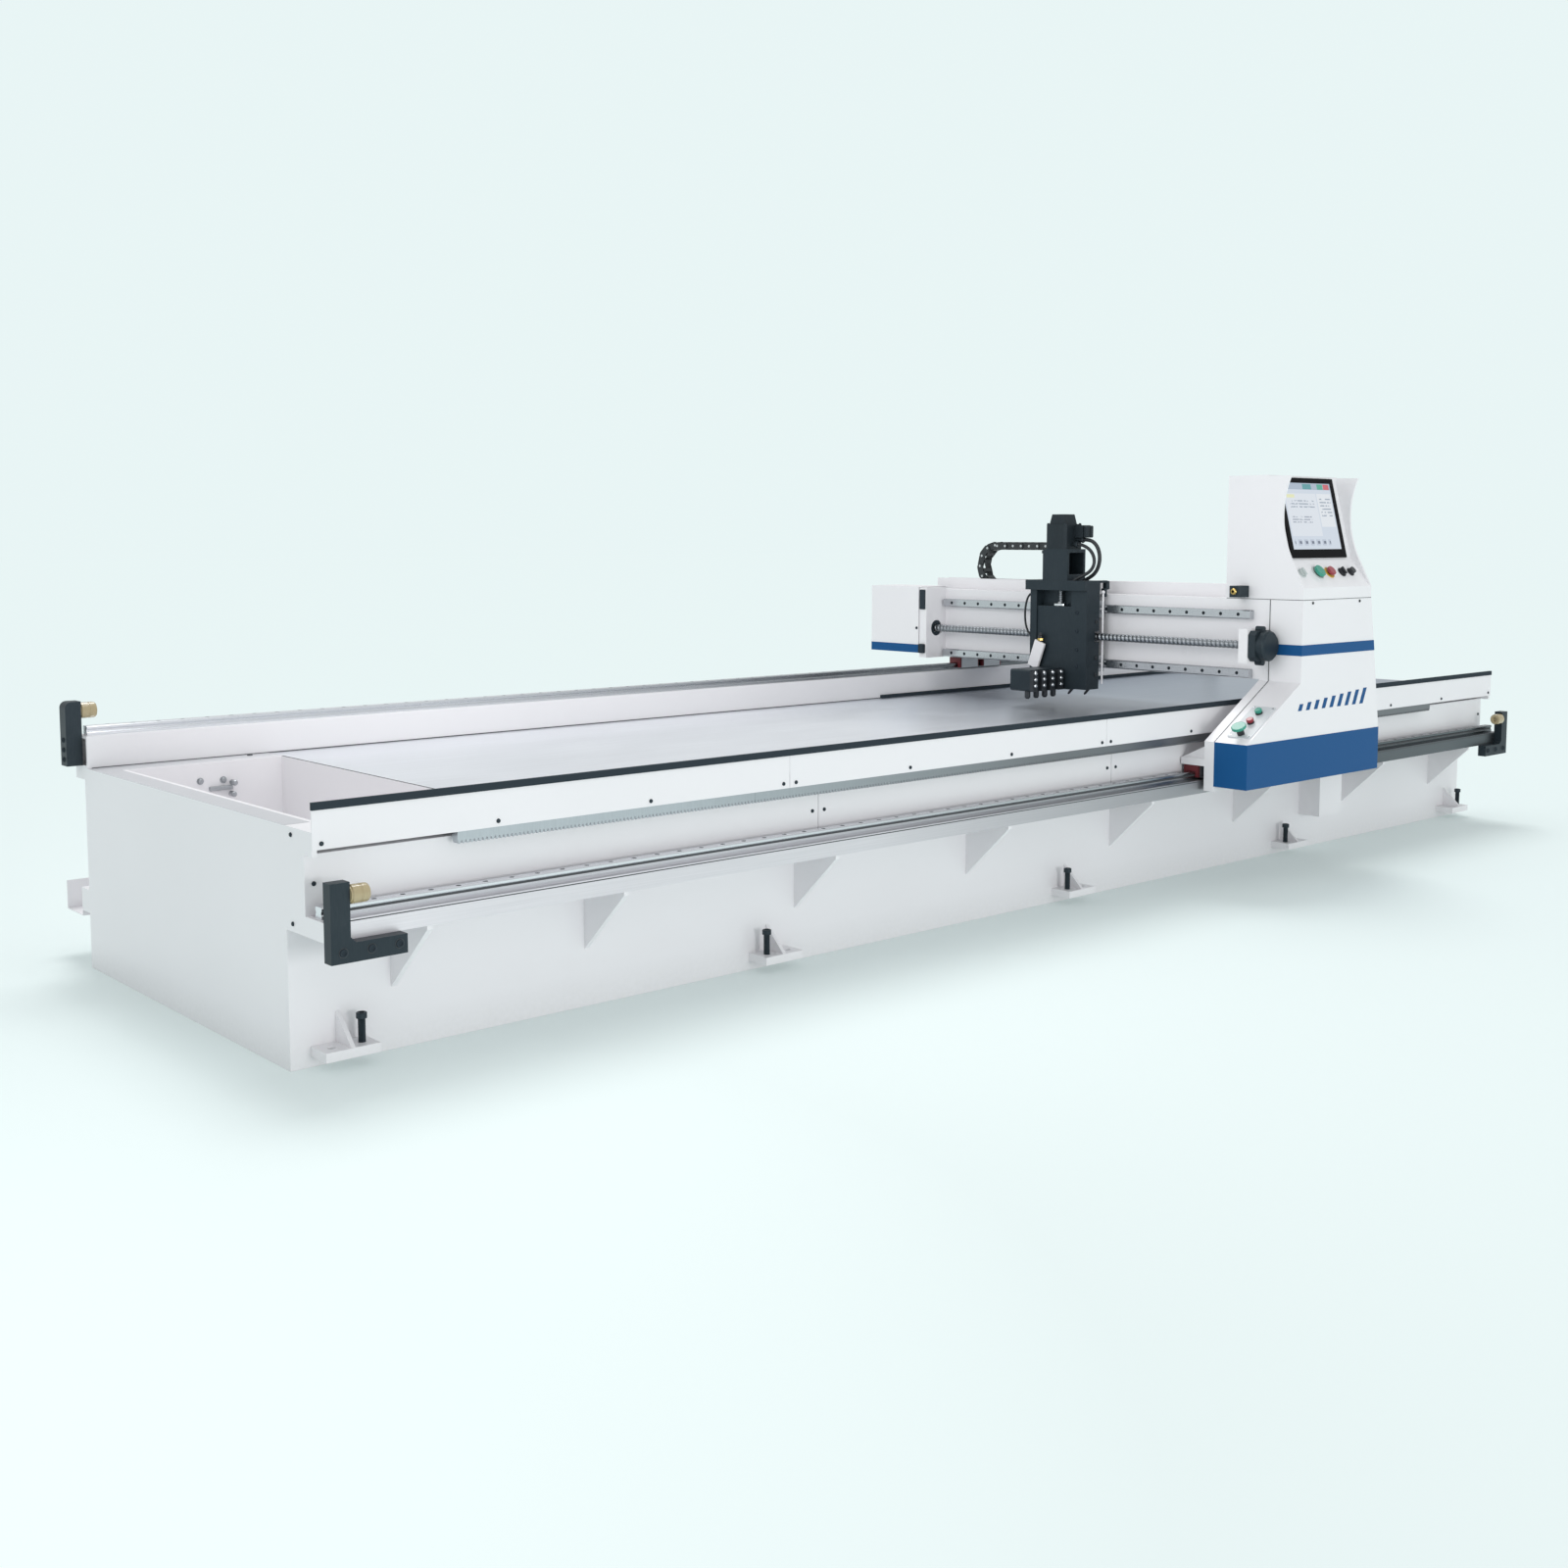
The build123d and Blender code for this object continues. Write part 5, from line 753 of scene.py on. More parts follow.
@dataclass
class BedLooks:
    """The bed's small pieces: screws, dark joints with painted shade in grooves and gaps, buffers, bolts,
    and the chip well's latch and the painted shade on its rim.
    """

    rail_first: float = -2.920
    rail_pitch: float = 0.080
    rail_count: int = 74
    rails: tuple[tuple[float, float], ...] = (
        (-0.850, Side.TOP.of("front_ledge") + 0.029),
        (0.700, Side.TOP.of("bed_rails")),
    )
    bore_depth: float = 0.012
    half_length: float = Side.RIGHT.of("bed_end_plates")
    rail_inset: float = 0.013
    buffer_length: float = 0.050
    buffer_shape: tuple[tuple[float, float], ...] = (
        (0.86, 0.0), (0.86, 0.06), (1.0, 0.10), (1.0, 0.50), (0.95, 0.53), (0.95, 0.58), (1.0, 0.61),
        (1.0, 0.86), (0.97, 0.94), (0.88, 1.0), (0.46, 1.0), (0.40, 0.95), (0.40, 0.80),
    )
    buffer_rows: tuple[tuple[float, float, float, float], ...] = (
        (0.024, -0.9252, 0.480, 0.052),
        (0.025, 0.717, 0.800, 0.0),
    )
    stop_face: float = Side.FRONT.of("stop_brackets")
    stop_end: float = Side.RIGHT.of("stop_brackets")
    ledge_front: float = Side.FRONT.of("front_ledge")
    stop_screws: tuple[float, ...] = (2.968, 2.893, 2.818)
    stop_screw_z: float = 0.341
    bolt_x: tuple[float, ...] = (-2.828, -1.462, -0.010, 1.428, 2.915)
    bolt_y: tuple[float, float] = (-0.748, 0.728)
    bolt_span: tuple[float, float] = (Side.LOW.of("levelling_bolts"), Side.TOP.of("levelling_bolts"))
    bolt_head: float = 0.015
    well_back: float = 0.550
    table_end: float = Side.LEFT.of("work_table")
    table_top: float = Side.TOP.of("work_table")
    screw_inset: float = 0.024
    seam_half: float = 0.001
    panel_rows: tuple[tuple[float, float, tuple[float, ...], int], ...] = (
        (Side.FRONT.of("front_panels"), 0.596, (-1.458, 0.072, 1.600), 4),
        (-0.804, 0.491, (-1.299, 0.163, 1.625), 2),
    )

    def rail_screws(self) -> None:
        """Seat a cap screw in every bore of both rails."""
        along = self.rail_first + self.rail_pitch * np.arange(self.rail_count)
        places = [spread(along, 0, (0.0, y, top - self.bore_depth)) for y, top in self.rails]
        piece("rail_screws", rail_screw().at(np.concatenate(places)), "bed", Finish.BLACK)

    def groove_shade(self) -> None:
        """Lay thin dark strips: painted shade in the front rail's groove, a dark joint with painted shade
        under the ledge's edge, and a painted shadow gap at the table's end.
        """
        half = self.half_length - self.rail_inset
        y, top = self.rails[0]
        front = self.ledge_front
        end = self.table_end
        # Painted shade: dark strips in the rail's groove, under the ledge's edge and along the table's end.
        shells = [
            box((-half, y - 0.0142, top - 0.0195), (half, y - 0.0132, top - 0.0090)),
            box((-half, front - 0.0003, 0.4065), (half, front + 0.001, 0.4095)),
            box((end - 0.0050, -0.655, 0.6235), (end + 0.0012, self.well_back, 0.6256)),
        ]
        piece("rail_groove_shade", shells, "bed", Finish.SEAM)

    def buffers(self) -> None:
        """Turn the four stop buffers: a collar at the stop, a round body with a groove and a dished end."""
        shells = []
        for radius, y, z, inset in self.buffer_rows:
            turned = revolved([(radius * r, self.buffer_length * h) for r, h in self.buffer_shape], 32)
            end = self.half_length - inset
            shells.append(turned.at((-end, y, z), Toward.RIGHT))
            shells.append(turned.at((end, y, z), Toward.LEFT))
        piece("turned_buffers", shells, "bed", Finish.BUFFER, replaces=["stop_bumpers"])

    def fixings(self) -> None:
        """Put cap screws in the feet of the front stops and in the outer sides of the rear ones."""
        head = socket_screw(0.0105, 0.004, 0.0055, 18)
        front = [(side * x, self.stop_face, self.stop_screw_z) for side in (-1, 1) for x in self.stop_screws]
        rear = socket_screw(0.008, 0.003, 0.004, 18)
        heights = [(self.stop_end, 0.717, z) for z in (0.652, 0.682, 0.712)]
        shells = [
            head.at(front, Toward.FRONT),
            rear.at(heights, Toward.RIGHT),
            rear.at([(-x, y, z) for x, y, z in heights], Toward.LEFT),
        ]
        piece("stop_screws", shells, "bed", Finish.RUBBER)
        rim = revolved([(0.0124, 0.0), (0.0121, 0.0008), (0.0112, 0.0008), (0.0108, 0.0)], 24, ring=True)
        piece("stop_screw_rims", rim.at(front, Toward.FRONT), "bed", Finish.SEAM)

    def bolts(self) -> None:
        """Cut the levelling bolts: a threaded shank from the foot plate up to a socket head."""
        low, top = self.bolt_span
        neck = top - self.bolt_head
        shank = threaded(0.010, 0.0010, lead=0.0025, low=low, high=neck + 0.002, segments=14, steps=4)
        head = socket_screw(0.014, self.bolt_head, 0.008, 24).at((0.0, 0.0, neck))
        places = [(x, y, 0.0) for y in self.bolt_y for x in self.bolt_x]
        bolts = Shell.joined([shank, head]).at(places)
        piece("threaded_bolts", bolts, "bed", Finish.BLACK, replaces=["levelling_bolts"])

    def latch(self) -> None:
        """Fit the chip well's latch: two screw heads above a bar with a turned handle at its end."""
        back = self.well_back
        washer = revolved([(0.011, 0.0), (0.011, 0.002), (0.008, 0.002), (0.008, 0.007), (0.006, 0.009)], 20)
        handle = revolved([(0.007, 0.0), (0.009, 0.003), (0.009, 0.026), (0.006, 0.030)], 20)
        shells = [
            washer.at([(-2.692, back, 0.568), (-2.617, back, 0.566)], Toward.FRONT),
            box((-2.664, back - 0.012, 0.534), (-2.590, back, 0.548), 0.002),
            handle.at([(-2.594, back - 0.012, 0.558)], Toward.FRONT),
            handle.at([(-2.598, back - 0.012, 0.522)], Toward.FRONT),
        ]
        piece("well_latch", shells, "bed", Finish.BLOCK)

    def well_rim(self) -> None:
        """Cover the chip well's rim and the deck behind it with thin grey strips of painted shade, and draw
        the joint at the rear beam's foot.
        """
        top = self.table_top
        cover = top + 0.0006
        end = self.half_length
        corner = 0.068 - end
        back = 0.653
        # Painted shade: thin grey strips over the rim and the deck behind the well.
        shade_strips = [
            box((-end, -0.700, top), (corner, back, cover)),
            box((corner, self.well_back + 0.008, top), (self.table_end, back, cover)),
        ]
        piece("rim_shade_cover", shade_strips, "bed", Finish.RIM_SHADE)
        half = end - self.rail_inset
        foot = box((-half, 0.6525, top), (half, 0.6555, top + 0.0025))
        screw = revolved([(0.009, 0.0), (0.009, 0.002), (0.006, 0.0035)], 18).at((-2.4926, 0.626, cover))
        piece("beam_foot_joint", [foot, screw], "bed", Finish.SEAM)

    def panel_screws(self) -> None:
        """Put domed screws along the front panels, at even steps in each panel, and in the end plates."""
        dome = revolved([(0.0060, 0.0), (0.0058, 0.002), (0.0045, 0.0035), (0.0020, 0.0042)], 16)
        front = []
        for face, height, seams, count in self.panel_rows:
            starts = np.append(-self.half_length, np.array(seams) + self.seam_half) + self.screw_inset
            stops = np.append(np.array(seams) - self.seam_half, self.half_length) - self.screw_inset
            along = np.linspace(starts, stops, count).T.ravel()
            front.append(spread(along, 0, (0.0, face, height)))
        ends = np.array([(self.half_length, -0.736, z) for z in (0.606, 0.383)])
        shells = [
            dome.at(np.concatenate(front), Toward.FRONT),
            dome.at(ends, Toward.RIGHT),
            dome.at(ends * (-1, 1, 1), Toward.LEFT),
        ]
        piece("domed_screws", shells, "bed", Finish.BLACK, replaces=["panel_screws"])

    def build(self) -> None:
        """Build every piece of the bed."""
        self.rail_screws()
        self.groove_shade()
        self.buffers()
        self.fixings()
        self.bolts()
        self.latch()
        self.well_rim()
        self.panel_screws()


@dataclass
class GantryLooks:
    """The gantry's small pieces: beam rail screws with painted shade in the rails' grooves, the ball screw,
    seams, fittings with a painted shade in the rear bore, and the painted bars.
    """

    rail_face: float = Side.LEFT.of("beam_rails")
    rail_ends: tuple[float, float] = (Side.FRONT.of("beam_rails"), Side.BACK.of("beam_rails"))
    bore_depth: float = 0.012
    rail_heights: tuple[float, float] = (0.800, 1.030)
    rail_first: float = -0.8325
    rail_pitch: float = 0.080
    rail_count: int = 20
    screw_axis: tuple[float, float] = (0.878, 0.914)
    screw_span: tuple[float, float] = (Side.FRONT.of("cross_screw"), Side.BACK.of("cross_screw"))
    seam_y: float = Side.FRONT.of("front_leg")
    plate_face: float = Side.LEFT.of("screw_bearings")
    front_face: float = Side.FRONT.of("cabinet_shell")
    bar_count: int = 9
    bar_first: float = 0.925
    bar_pitch: float = 0.056
    bar_width: float = 0.024
    bar_lean: float = 0.45

    def rail_screws(self) -> None:
        """Seat a cap screw in every bore of the beam's rails, and lay thin dark strips of painted shade in
        their grooves.
        """
        along = self.rail_first + self.rail_pitch * np.arange(self.rail_count)
        places = [spread(along, 1, (self.rail_face + self.bore_depth, 0.0, z)) for z in self.rail_heights]
        heads = rail_screw().at(np.concatenate(places), Toward.LEFT)
        piece("beam_rail_screws", heads, "gantry", Finish.BLACK)
        near, far = self.rail_ends
        # Painted shade: thin dark strips in the rails' grooves.
        groove_shade = [
            box((0.9205, near + 0.001, z + 0.0132), (0.9310, far - 0.001, z + 0.0142))
            for z in self.rail_heights
        ]
        piece("beam_rail_groove_shade", groove_shade, "gantry", Finish.SEAM)

    def ball_screw(self) -> None:
        """Cut the cross screw's thread, with a plain journal in front and a clamped coupling behind."""
        low, high = self.screw_span
        start = low + 0.080
        end = high - 0.052
        journal = revolved([(0.013, low), (0.0155, low + 0.003), (0.0155, low + 0.075), (0.016, start)], 24)
        thread = threaded(0.016, depth=0.0026, lead=0.020, low=start, high=end, sharp=2.0)
        sleeve = coupling(0.024, end, high, (high - 0.028, high - 0.024))
        axis_x, axis_z = self.screw_axis
        shells = [shell.at((axis_x, 0.0, axis_z), Toward.BACK) for shell in (journal, thread, sleeve)]
        piece("ball_screw", shells, "cross_drive", Finish.SCREW, replaces=["cross_screw"])

    def seams(self) -> None:
        """Draw the dark joint between leg and cabinet: a thin strip up the side and down the slope."""
        half = 0.0016
        upright = box((0.9393, self.seam_y - half, 0.774), (0.9405, self.seam_y + half, 1.091))
        across, rise = 0.354, 0.210
        run = hypot(across, rise)
        along = np.array((across, 0.0, rise)) / run
        normal = np.array((-rise, 0.0, across)) / run
        strip = box((0.0, -half, -0.0008), (run, half, 0.0007))
        slope = strip.at((0.586, self.seam_y, 0.564), (along, (0.0, 1.0, 0.0), normal))
        piece("cabinet_seams", [upright, slope], "gantry", Finish.SEAM)

    def rear_fittings(self) -> None:
        """Fit the rear bearing plate's rubber pad and cable clamp, a dark ring of painted shade in the
        shaft's bore, and the cover's screw.
        """
        face = self.plate_face
        shells = [
            box((face - 0.007, 0.757, 1.000), (face, 0.787, 1.090), 0.002),
            box((face - 0.016, 0.757, 0.800), (face, 0.787, 0.842), 0.003),
            socket_screw(0.006, 0.004, 0.003, 16).at((0.805, 0.806, 0.914), Toward.LEFT),
        ]
        # Painted shade: a dark ring that stands for the shade inside the shaft's bore.
        rim = [(0.0355, 0.0), (0.0355, 0.006), (0.018, 0.006), (0.018, 0.0)]
        axis_x, axis_z = self.screw_axis
        bore_shade = revolved(rim, 32, ring=True).at((axis_x, 0.7615, axis_z), Toward.FRONT)
        piece("rear_fittings", [*shells, bore_shade], "gantry", Finish.RUBBER)

    def stop_plug(self) -> None:
        """Set a brass plug in the stop block: a turned disc with a rounded rim."""
        plug = revolved([(0.013, 0.0), (0.013, 0.005), (0.011, 0.008), (0.006, 0.009), (0.005, 0.006)], 24)
        plug = plug.at((0.870, -0.839, 1.120), Toward.LEFT)
        piece("stop_plug", plug, "gantry", Finish.BRASS)

    def bars(self) -> None:
        """Paint a row of leaning bars on the cabinet: flat strips that grow taller to the right."""
        wide = self.bar_width
        shells = []
        for index in range(self.bar_count):
            tall = 0.026 + 0.0045 * index
            lean = self.bar_lean * tall
            strip = extruded([(0.0, 0.0), (wide, 0.0), (wide + lean, tall), (lean, tall)], 0.0, 0.0012)
            left = self.bar_first + self.bar_pitch * index
            shells.append(strip.at((left, self.front_face, 0.668), Toward.FRONT))
        piece("painted_bars", shells, "gantry", Finish.BLUE)

    def build(self) -> None:
        """Build every piece of the gantry."""
        self.rail_screws()
        self.ball_screw()
        self.seams()
        self.rear_fittings()
        self.stop_plug()
        self.bars()


@dataclass
class ConsoleLooks:
    """The console: the screen's picture, the collars under its controls, seams and small screws."""

    shelf_y: float = -1.055
    shelf_z: float = 1.192
    shelf_up: Point = (0.0, 0.62469, 0.78086)
    shelf_normal: Point = (0.0, -0.78086, 0.62469)
    slope_start: Point = (Side.LEFT.of("cabinet_shell"), -1.03975, Side.LOW.of("cabinet_shell"))
    slope_along: Point = (0.86006, 0.0, 0.51019)
    slope_normal: Point = (-0.51019, 0.0, 0.86006)
    plate_thick: float = 0.004
    seam_z: float = Side.LOW.of("console_head")
    sides: tuple[float, float] = (Side.LEFT.of("console_head"), Side.RIGHT.of("console_head"))

    def screen_finish(self) -> ScreenFace:
        """Return the screen's lit face, laid out on the display's own plane."""
        low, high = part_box("screen_display")
        centre = tuple((low[i] + high[i]) / 2 for i in range(3))
        back, rise = 0.078, 0.316
        slant = hypot(back, rise)
        up = (0.0, back / slant, rise / slant)
        return ScreenFace("screen_face", centre, up, width=0.350, height=0.268)

    def on_slope(self, along: float, across: float, up: float) -> np.ndarray:
        """Return a place on the sloping panel, from its lower edge's middle."""
        start, run, normal = np.array((self.slope_start, self.slope_along, self.slope_normal))
        return start + along * run + (0.0, across, 0.0) + up * normal

    @property
    def slope(self) -> tuple[Point, Point, Point]:
        """Return the sloping panel's own X, Y and Z."""
        return (self.slope_along, (0.0, 1.0, 0.0), self.slope_normal)

    def collar(self, radius: float, width: float, height: float) -> Shell:
        """Return a ring round a control: a low cup whose wall stands clear of the cap."""
        inner = radius + 0.0008
        outer = inner + width
        edge = 0.2 * width
        return revolved([(outer, 0.0), (outer, height - edge), (outer - edge, height), (inner, height),
                         (inner, 0.0006)], 32)

    def collars(self) -> None:
        """Set a collar round every control of the shelf and of the sloping panel."""
        shelf = ((1.0, 0.0, 0.0), self.shelf_up, self.shelf_normal)

        def on_shelf(x: float, radius: float, width: float, height: float = 0.004) -> Shell:
            """Return a collar round a control of the shelf."""
            return self.collar(radius, width, height).at((x, self.shelf_y, self.shelf_z), shelf)

        pale = [on_shelf(x, radius, 0.0036) for x, radius in ((0.996, 0.016), (1.109, 0.026))]
        dark = [on_shelf(x, radius, 0.0034) for x, radius in ((1.285, 0.016), (1.349, 0.014))]
        for along, height in ((0.060, 0.020), (0.133, 0.0045), (0.196, 0.0045)):
            place = self.on_slope(along, 0.0, self.plate_thick)
            dark.append(self.collar(0.0095, 0.0035, height).at(place, self.slope))
        piece("pale_collars", pale, "gantry", Finish.PALE)
        piece("dark_collars", dark, "gantry", Finish.KNOB)
        piece("stop_ring", on_shelf(1.193, 0.020, 0.0050, 0.003), "gantry", Finish.YELLOW)

    def seams(self) -> None:
        """Draw the joint between console and cabinet: a thin strip along the front and the side."""
        half = 0.0011
        left, right = self.sides
        front = box((left, -1.0994, self.seam_z - half), (right, -1.098, self.seam_z + half))
        end = box((left - 0.0006, -1.098, self.seam_z - half), (left + 0.0005, -0.760, self.seam_z + half))
        piece("console_seam", [front, end], "gantry", Finish.SEAM)

    def screws(self) -> None:
        """Put two cap screws under the console and four in the corners of the button plate."""
        head = socket_screw(0.0056, 0.003, 0.0028, 16)
        front = head.at([(1.009, -1.0985, 1.079), (1.350, -1.0985, 1.079)], Toward.FRONT)
        corners = [
            self.on_slope(along, across, self.plate_thick)
            for along in (0.048, 0.230)
            for across in (-0.040, 0.040)
        ]
        small = socket_screw(0.004, 0.002, 0.002, 16).at(corners, self.slope)
        piece("cabinet_screws", front, "gantry", Finish.KNOB)
        piece("plate_screws", small, "gantry", Finish.BRIGHT)

    def build(self) -> None:
        """Build every piece of the console."""
        self.collars()
        self.seams()
        self.screws()


@dataclass
class CarriageLooks:
    """The carriage: cables, the saddle's and tools' screws, the feed screw and the tool head's fittings."""

    screw_axis: tuple[float, float] = (0.831, -0.016)
    screw_span: tuple[float, float] = (Side.LOW.of("z_screw"), 1.187)
    coupling_top: float = Side.TOP.of("z_screw")
    saddle_side: float = Side.FRONT.of("carriage_saddle")
    cheek_face: float = Side.LEFT.of("carriage_saddle")
    tool_face: float = Side.FRONT.of("grooving_tools")
    tool_x: tuple[float, ...] = (0.615, 0.670, 0.725, 0.780)
    pipe: tuple[float, float] = (0.902, -0.181)
    power_line: tuple[Point, ...] = (
        (0.862, -0.096, 1.3200), (0.862, -0.124, 1.3200), (0.862, -0.156, 1.3130), (0.862, -0.182, 1.2870),
        (0.862, -0.193, 1.2480), (0.862, -0.187, 1.2080), (0.862, -0.167, 1.1781), (0.862, -0.138, 1.1599),
        (0.862, -0.108, 1.1464),
    )
    signal_line: tuple[Point, ...] = (
        (0.838, -0.084, 1.3000), (0.838, -0.108, 1.3000), (0.838, -0.140, 1.2900), (0.838, -0.168, 1.2700),
        (0.837, -0.184, 1.2401), (0.834, -0.183, 1.2100), (0.829, -0.166, 1.1860), (0.822, -0.140, 1.1710),
        (0.814, -0.116, 1.1600), (0.808, -0.097, 1.1460),
    )
    hose_line: tuple[Point, ...] = (
        (0.822, 0.125, 1.0920), (0.822, 0.143, 1.0899), (0.822, 0.159, 1.0740), (0.822, 0.170, 1.0460),
        (0.822, 0.175, 1.0099), (0.822, 0.174, 0.9719), (0.822, 0.165, 0.9379), (0.822, 0.149, 0.9140),
        (0.822, 0.125, 0.9043),
    )

    def run_of(self, route: Sequence[Point], samples: int = 400) -> float:
        """Measure a cord.

        The line is a smooth curve of second degree led by the route's points: between two knots it is a
        weighted mean of three neighbours, with the weights quadratic in the place along the curve.

        Args:
            route: the points that lead the curve.
            samples: how many places it is measured at.

        Returns:
            Its length in metres.
        """
        count = len(route)
        knots = np.concatenate([[0, 0], np.arange(count - 1), [count - 2, count - 2]]).astype(float)
        place = np.linspace(0.0, count - 2 - 1e-9, samples)
        basis = ((place[:, None] >= knots[None, :-1]) & (place[:, None] < knots[None, 1:])).astype(float)
        for degree in (1, 2):
            rise = knots[degree:-1] - knots[:-degree - 1]
            fall = knots[degree + 1:] - knots[1:-degree]
            ahead = (place[:, None] - knots[:-degree - 1]) / np.where(rise > 0, rise, 1.0) * (rise > 0)
            behind = (knots[degree + 1:] - place[:, None]) / np.where(fall > 0, fall, 1.0) * (fall > 0)
            basis = ahead * basis[:, :-1] + behind * basis[:, 1:]
        line = basis @ np.asarray(route, float)
        return float(np.linalg.norm(np.diff(line, axis=0), axis=1).sum())

    def cord(self, name: str, route: Sequence[Point], diameter: float, replaces: Sequence[str] = ()) -> None:
        """Lay a cord: a curve led by the route's points, with a round section.

        Args:
            name: the cord's name.
            route: the points that lead it, from where it leaves the machine.
            diameter: its thickness.
            replaces: the solids that it stands for.
        """
        data = bpy.data.curves.new(name, "CURVE")
        data.dimensions = "3D"
        data.bevel_depth = diameter / 2
        data.bevel_resolution = 4
        data.resolution_u = 16
        data.use_fill_caps = True
        line = data.splines.new("NURBS")
        line.points.add(len(route) - 1)
        line.points.foreach_set("co", [value for point in route for value in (*point, 1.0)])
        line.order_u = 3
        line.use_endpoint_u = True
        data.materials.append(PAINTS.of(Finish.CABLE))
        made = placed(name, data)
        attach(made, "carriage", replaces)
        length = self.run_of(route)
        LOG.info("%s on carriage, %.4f m long", name, length)

    def cables(self) -> None:
        """Lay the motor's power and signal cables and the oil hose."""
        self.cord("motor_lead", self.power_line, 0.016, ["motor_cable"])
        self.cord("signal_lead", self.signal_line, 0.014)
        self.cord("oil_hose", self.hose_line, 0.009)

    def saddle_screws(self) -> None:
        """Put four black screws in the near cheek and four of dark steel in the saddle's edge."""
        head = socket_screw(0.008, 0.004, 0.004, 18)
        cheek = [(self.cheek_face, -0.125, z) for z in (1.015, 0.938, 0.860, 0.790)]
        piece("cheek_screws", head.at(cheek, Toward.LEFT), "carriage", Finish.RUBBER)
        edge = [(0.864, self.saddle_side, z) for z in (0.977, 0.903, 0.825, 0.755)]
        piece("saddle_screws", head.at(edge, Toward.FRONT), "carriage", Finish.TOOL)

    def oil_pipe(self) -> None:
        """Run the white oil pipe up the saddle's near side, with a stub to each runner and a ball on top."""
        x, y = self.pipe
        radius = 0.0043
        upright = revolved([(radius, 0.7145), (radius, 1.0955)], 16).at((x, y, 0.0))
        stub = revolved([(radius, 0.0), (radius, 0.0135)], 16)
        stubs = stub.at([(x, y, z) for z in (0.800, 1.030)], Toward.BACK)
        turn = np.linspace(-1.35, 1.35, 9)
        ball = revolved(0.008 * np.column_stack([np.cos(turn), np.sin(turn)]), 20).at((x, y, 1.100))
        piece("white_oil_pipe", [upright, stubs, ball], "carriage", Finish.WHITE)

    def oil_fingers(self) -> None:
        """Fit two black oil fingers at the saddle's foot: leaning rods with tapered tips."""
        rod = revolved([(0.0055, 0.0), (0.0055, 0.026), (0.0035, 0.034)], 16)
        back, fall = 0.023, 0.024
        lean = np.array((0.0, back, -fall)) / hypot(back, fall)
        across = (1.0, 0.0, 0.0)
        places = [(0.807, -0.104, 0.6965), (0.840, -0.163, 0.6965)]
        rods = rod.at(places, (np.cross(across, lean), across, lean))
        piece("oil_fingers", rods, "carriage", Finish.KNOB)

    def plate_hook(self) -> None:
        """Fit the black hook at the top plate's near end: an arm, a nose and a tongue that hangs from it."""
        near, back = self.saddle_side, self.saddle_side + 0.018
        shells = [
            box((0.886, near, 1.139), (0.934, back, 1.149), 0.001),
            box((0.928, near, 1.110), (0.950, back, 1.147), 0.003),
            box((0.917, near, 1.080), (0.933, back, 1.116), 0.002),
        ]
        piece("plate_hook", shells, "carriage", Finish.BLACK)

    def feed_screw(self) -> None:
        """Cut the feed screw's thread and its coupling."""
        low, high = self.screw_span
        thread = threaded(0.010, depth=0.0016, lead=0.010, low=low, high=high, segments=16, sharp=2.0)
        sleeve = coupling(0.022, high, self.coupling_top, (high + 0.039, high + 0.041))
        shells = [shell.at((*self.screw_axis, 0.0)) for shell in (thread, sleeve)]
        piece("feed_screw", shells, "z_drive", Finish.SCREW, replaces=["z_screw"])

    def head_fittings(self) -> None:
        """Fit the tool head: the nut's flange, the tool clamps' screws, the leaning block and its union."""
        flange = revolved([(0.030, 0.0), (0.032, 0.002), (0.032, 0.010), (0.030, 0.012), (0.018, 0.012),
                           (0.016, 0.016), (0.0106, 0.016), (0.0106, 0.002)], 28)
        dome = revolved([(0.009, 0.0), (0.009, 0.002), (0.0078, 0.005), (0.005, 0.0068), (0.0032, 0.007),
                         (0.0032, 0.004)], 18, 6, (4, 5))
        rows = [(x, self.tool_face, z) for x in self.tool_x for z in (0.766, 0.740, 0.714)]
        shells = [flange.at((*self.screw_axis, 1.040)), dome.at(rows, Toward.FRONT)]
        piece("head_fittings", shells, "tool_head", Finish.BRIGHT)
        lean = radians(20)
        turned = ((0.0, -sin(lean), cos(lean)), (-1.0, 0.0, 0.0), (0.0, -cos(lean), -sin(lean)))
        x, half = 0.789, np.array((0.058, 0.006, 0.028))
        block = box(-half, half, 0.002, 0.002).at((x, 0.080, 0.832), turned)
        piece("leaning_block", block, "tool_head", Finish.WHITE)
        union = revolved([(0.009, 0.0), (0.011, 0.002), (0.011, 0.010), (0.009, 0.012)], 24, 6, (0, 1, 2, 3))
        piece("air_union", union.at((x, 0.060, 0.890)), "tool_head", Finish.BRASS)
        collar = revolved([(0.010, 0.0), (0.010, 0.010), (0.006, 0.013), (0.006, 0.022)], 20)
        piece("union_collar", collar.at((x, 0.060, 0.902)), "tool_head", Finish.KNOB)

    def motor_fittings(self) -> None:
        """Fit the motor: corner screws, the two caps of its connector and the cables' nuts."""
        x, y = self.screw_axis
        screw = socket_screw(0.005, 0.004, 0.0025, 16)
        corners = [(x + across, y + along, 1.385) for across in (-0.036, 0.060) for along in (-0.046, 0.046)]
        cap = box((0.0, -0.019, -0.026), (0.021, 0.0, 0.024), 0.003, 0.004)
        nut = revolved([(0.010, 0.0), (0.0125, 0.002), (0.0125, 0.010), (0.0095, 0.013)], 24, 6, (1, 2))
        shells = [
            screw.at(corners),
            cap.at([(0.845, -0.116, 1.354), (0.870, -0.116, 1.354)]),
            nut.at([(0.862, -0.096, 1.320), (0.838, -0.084, 1.300)], Toward.FRONT),
        ]
        piece("motor_fittings", shells, "carriage", Finish.MOTOR)

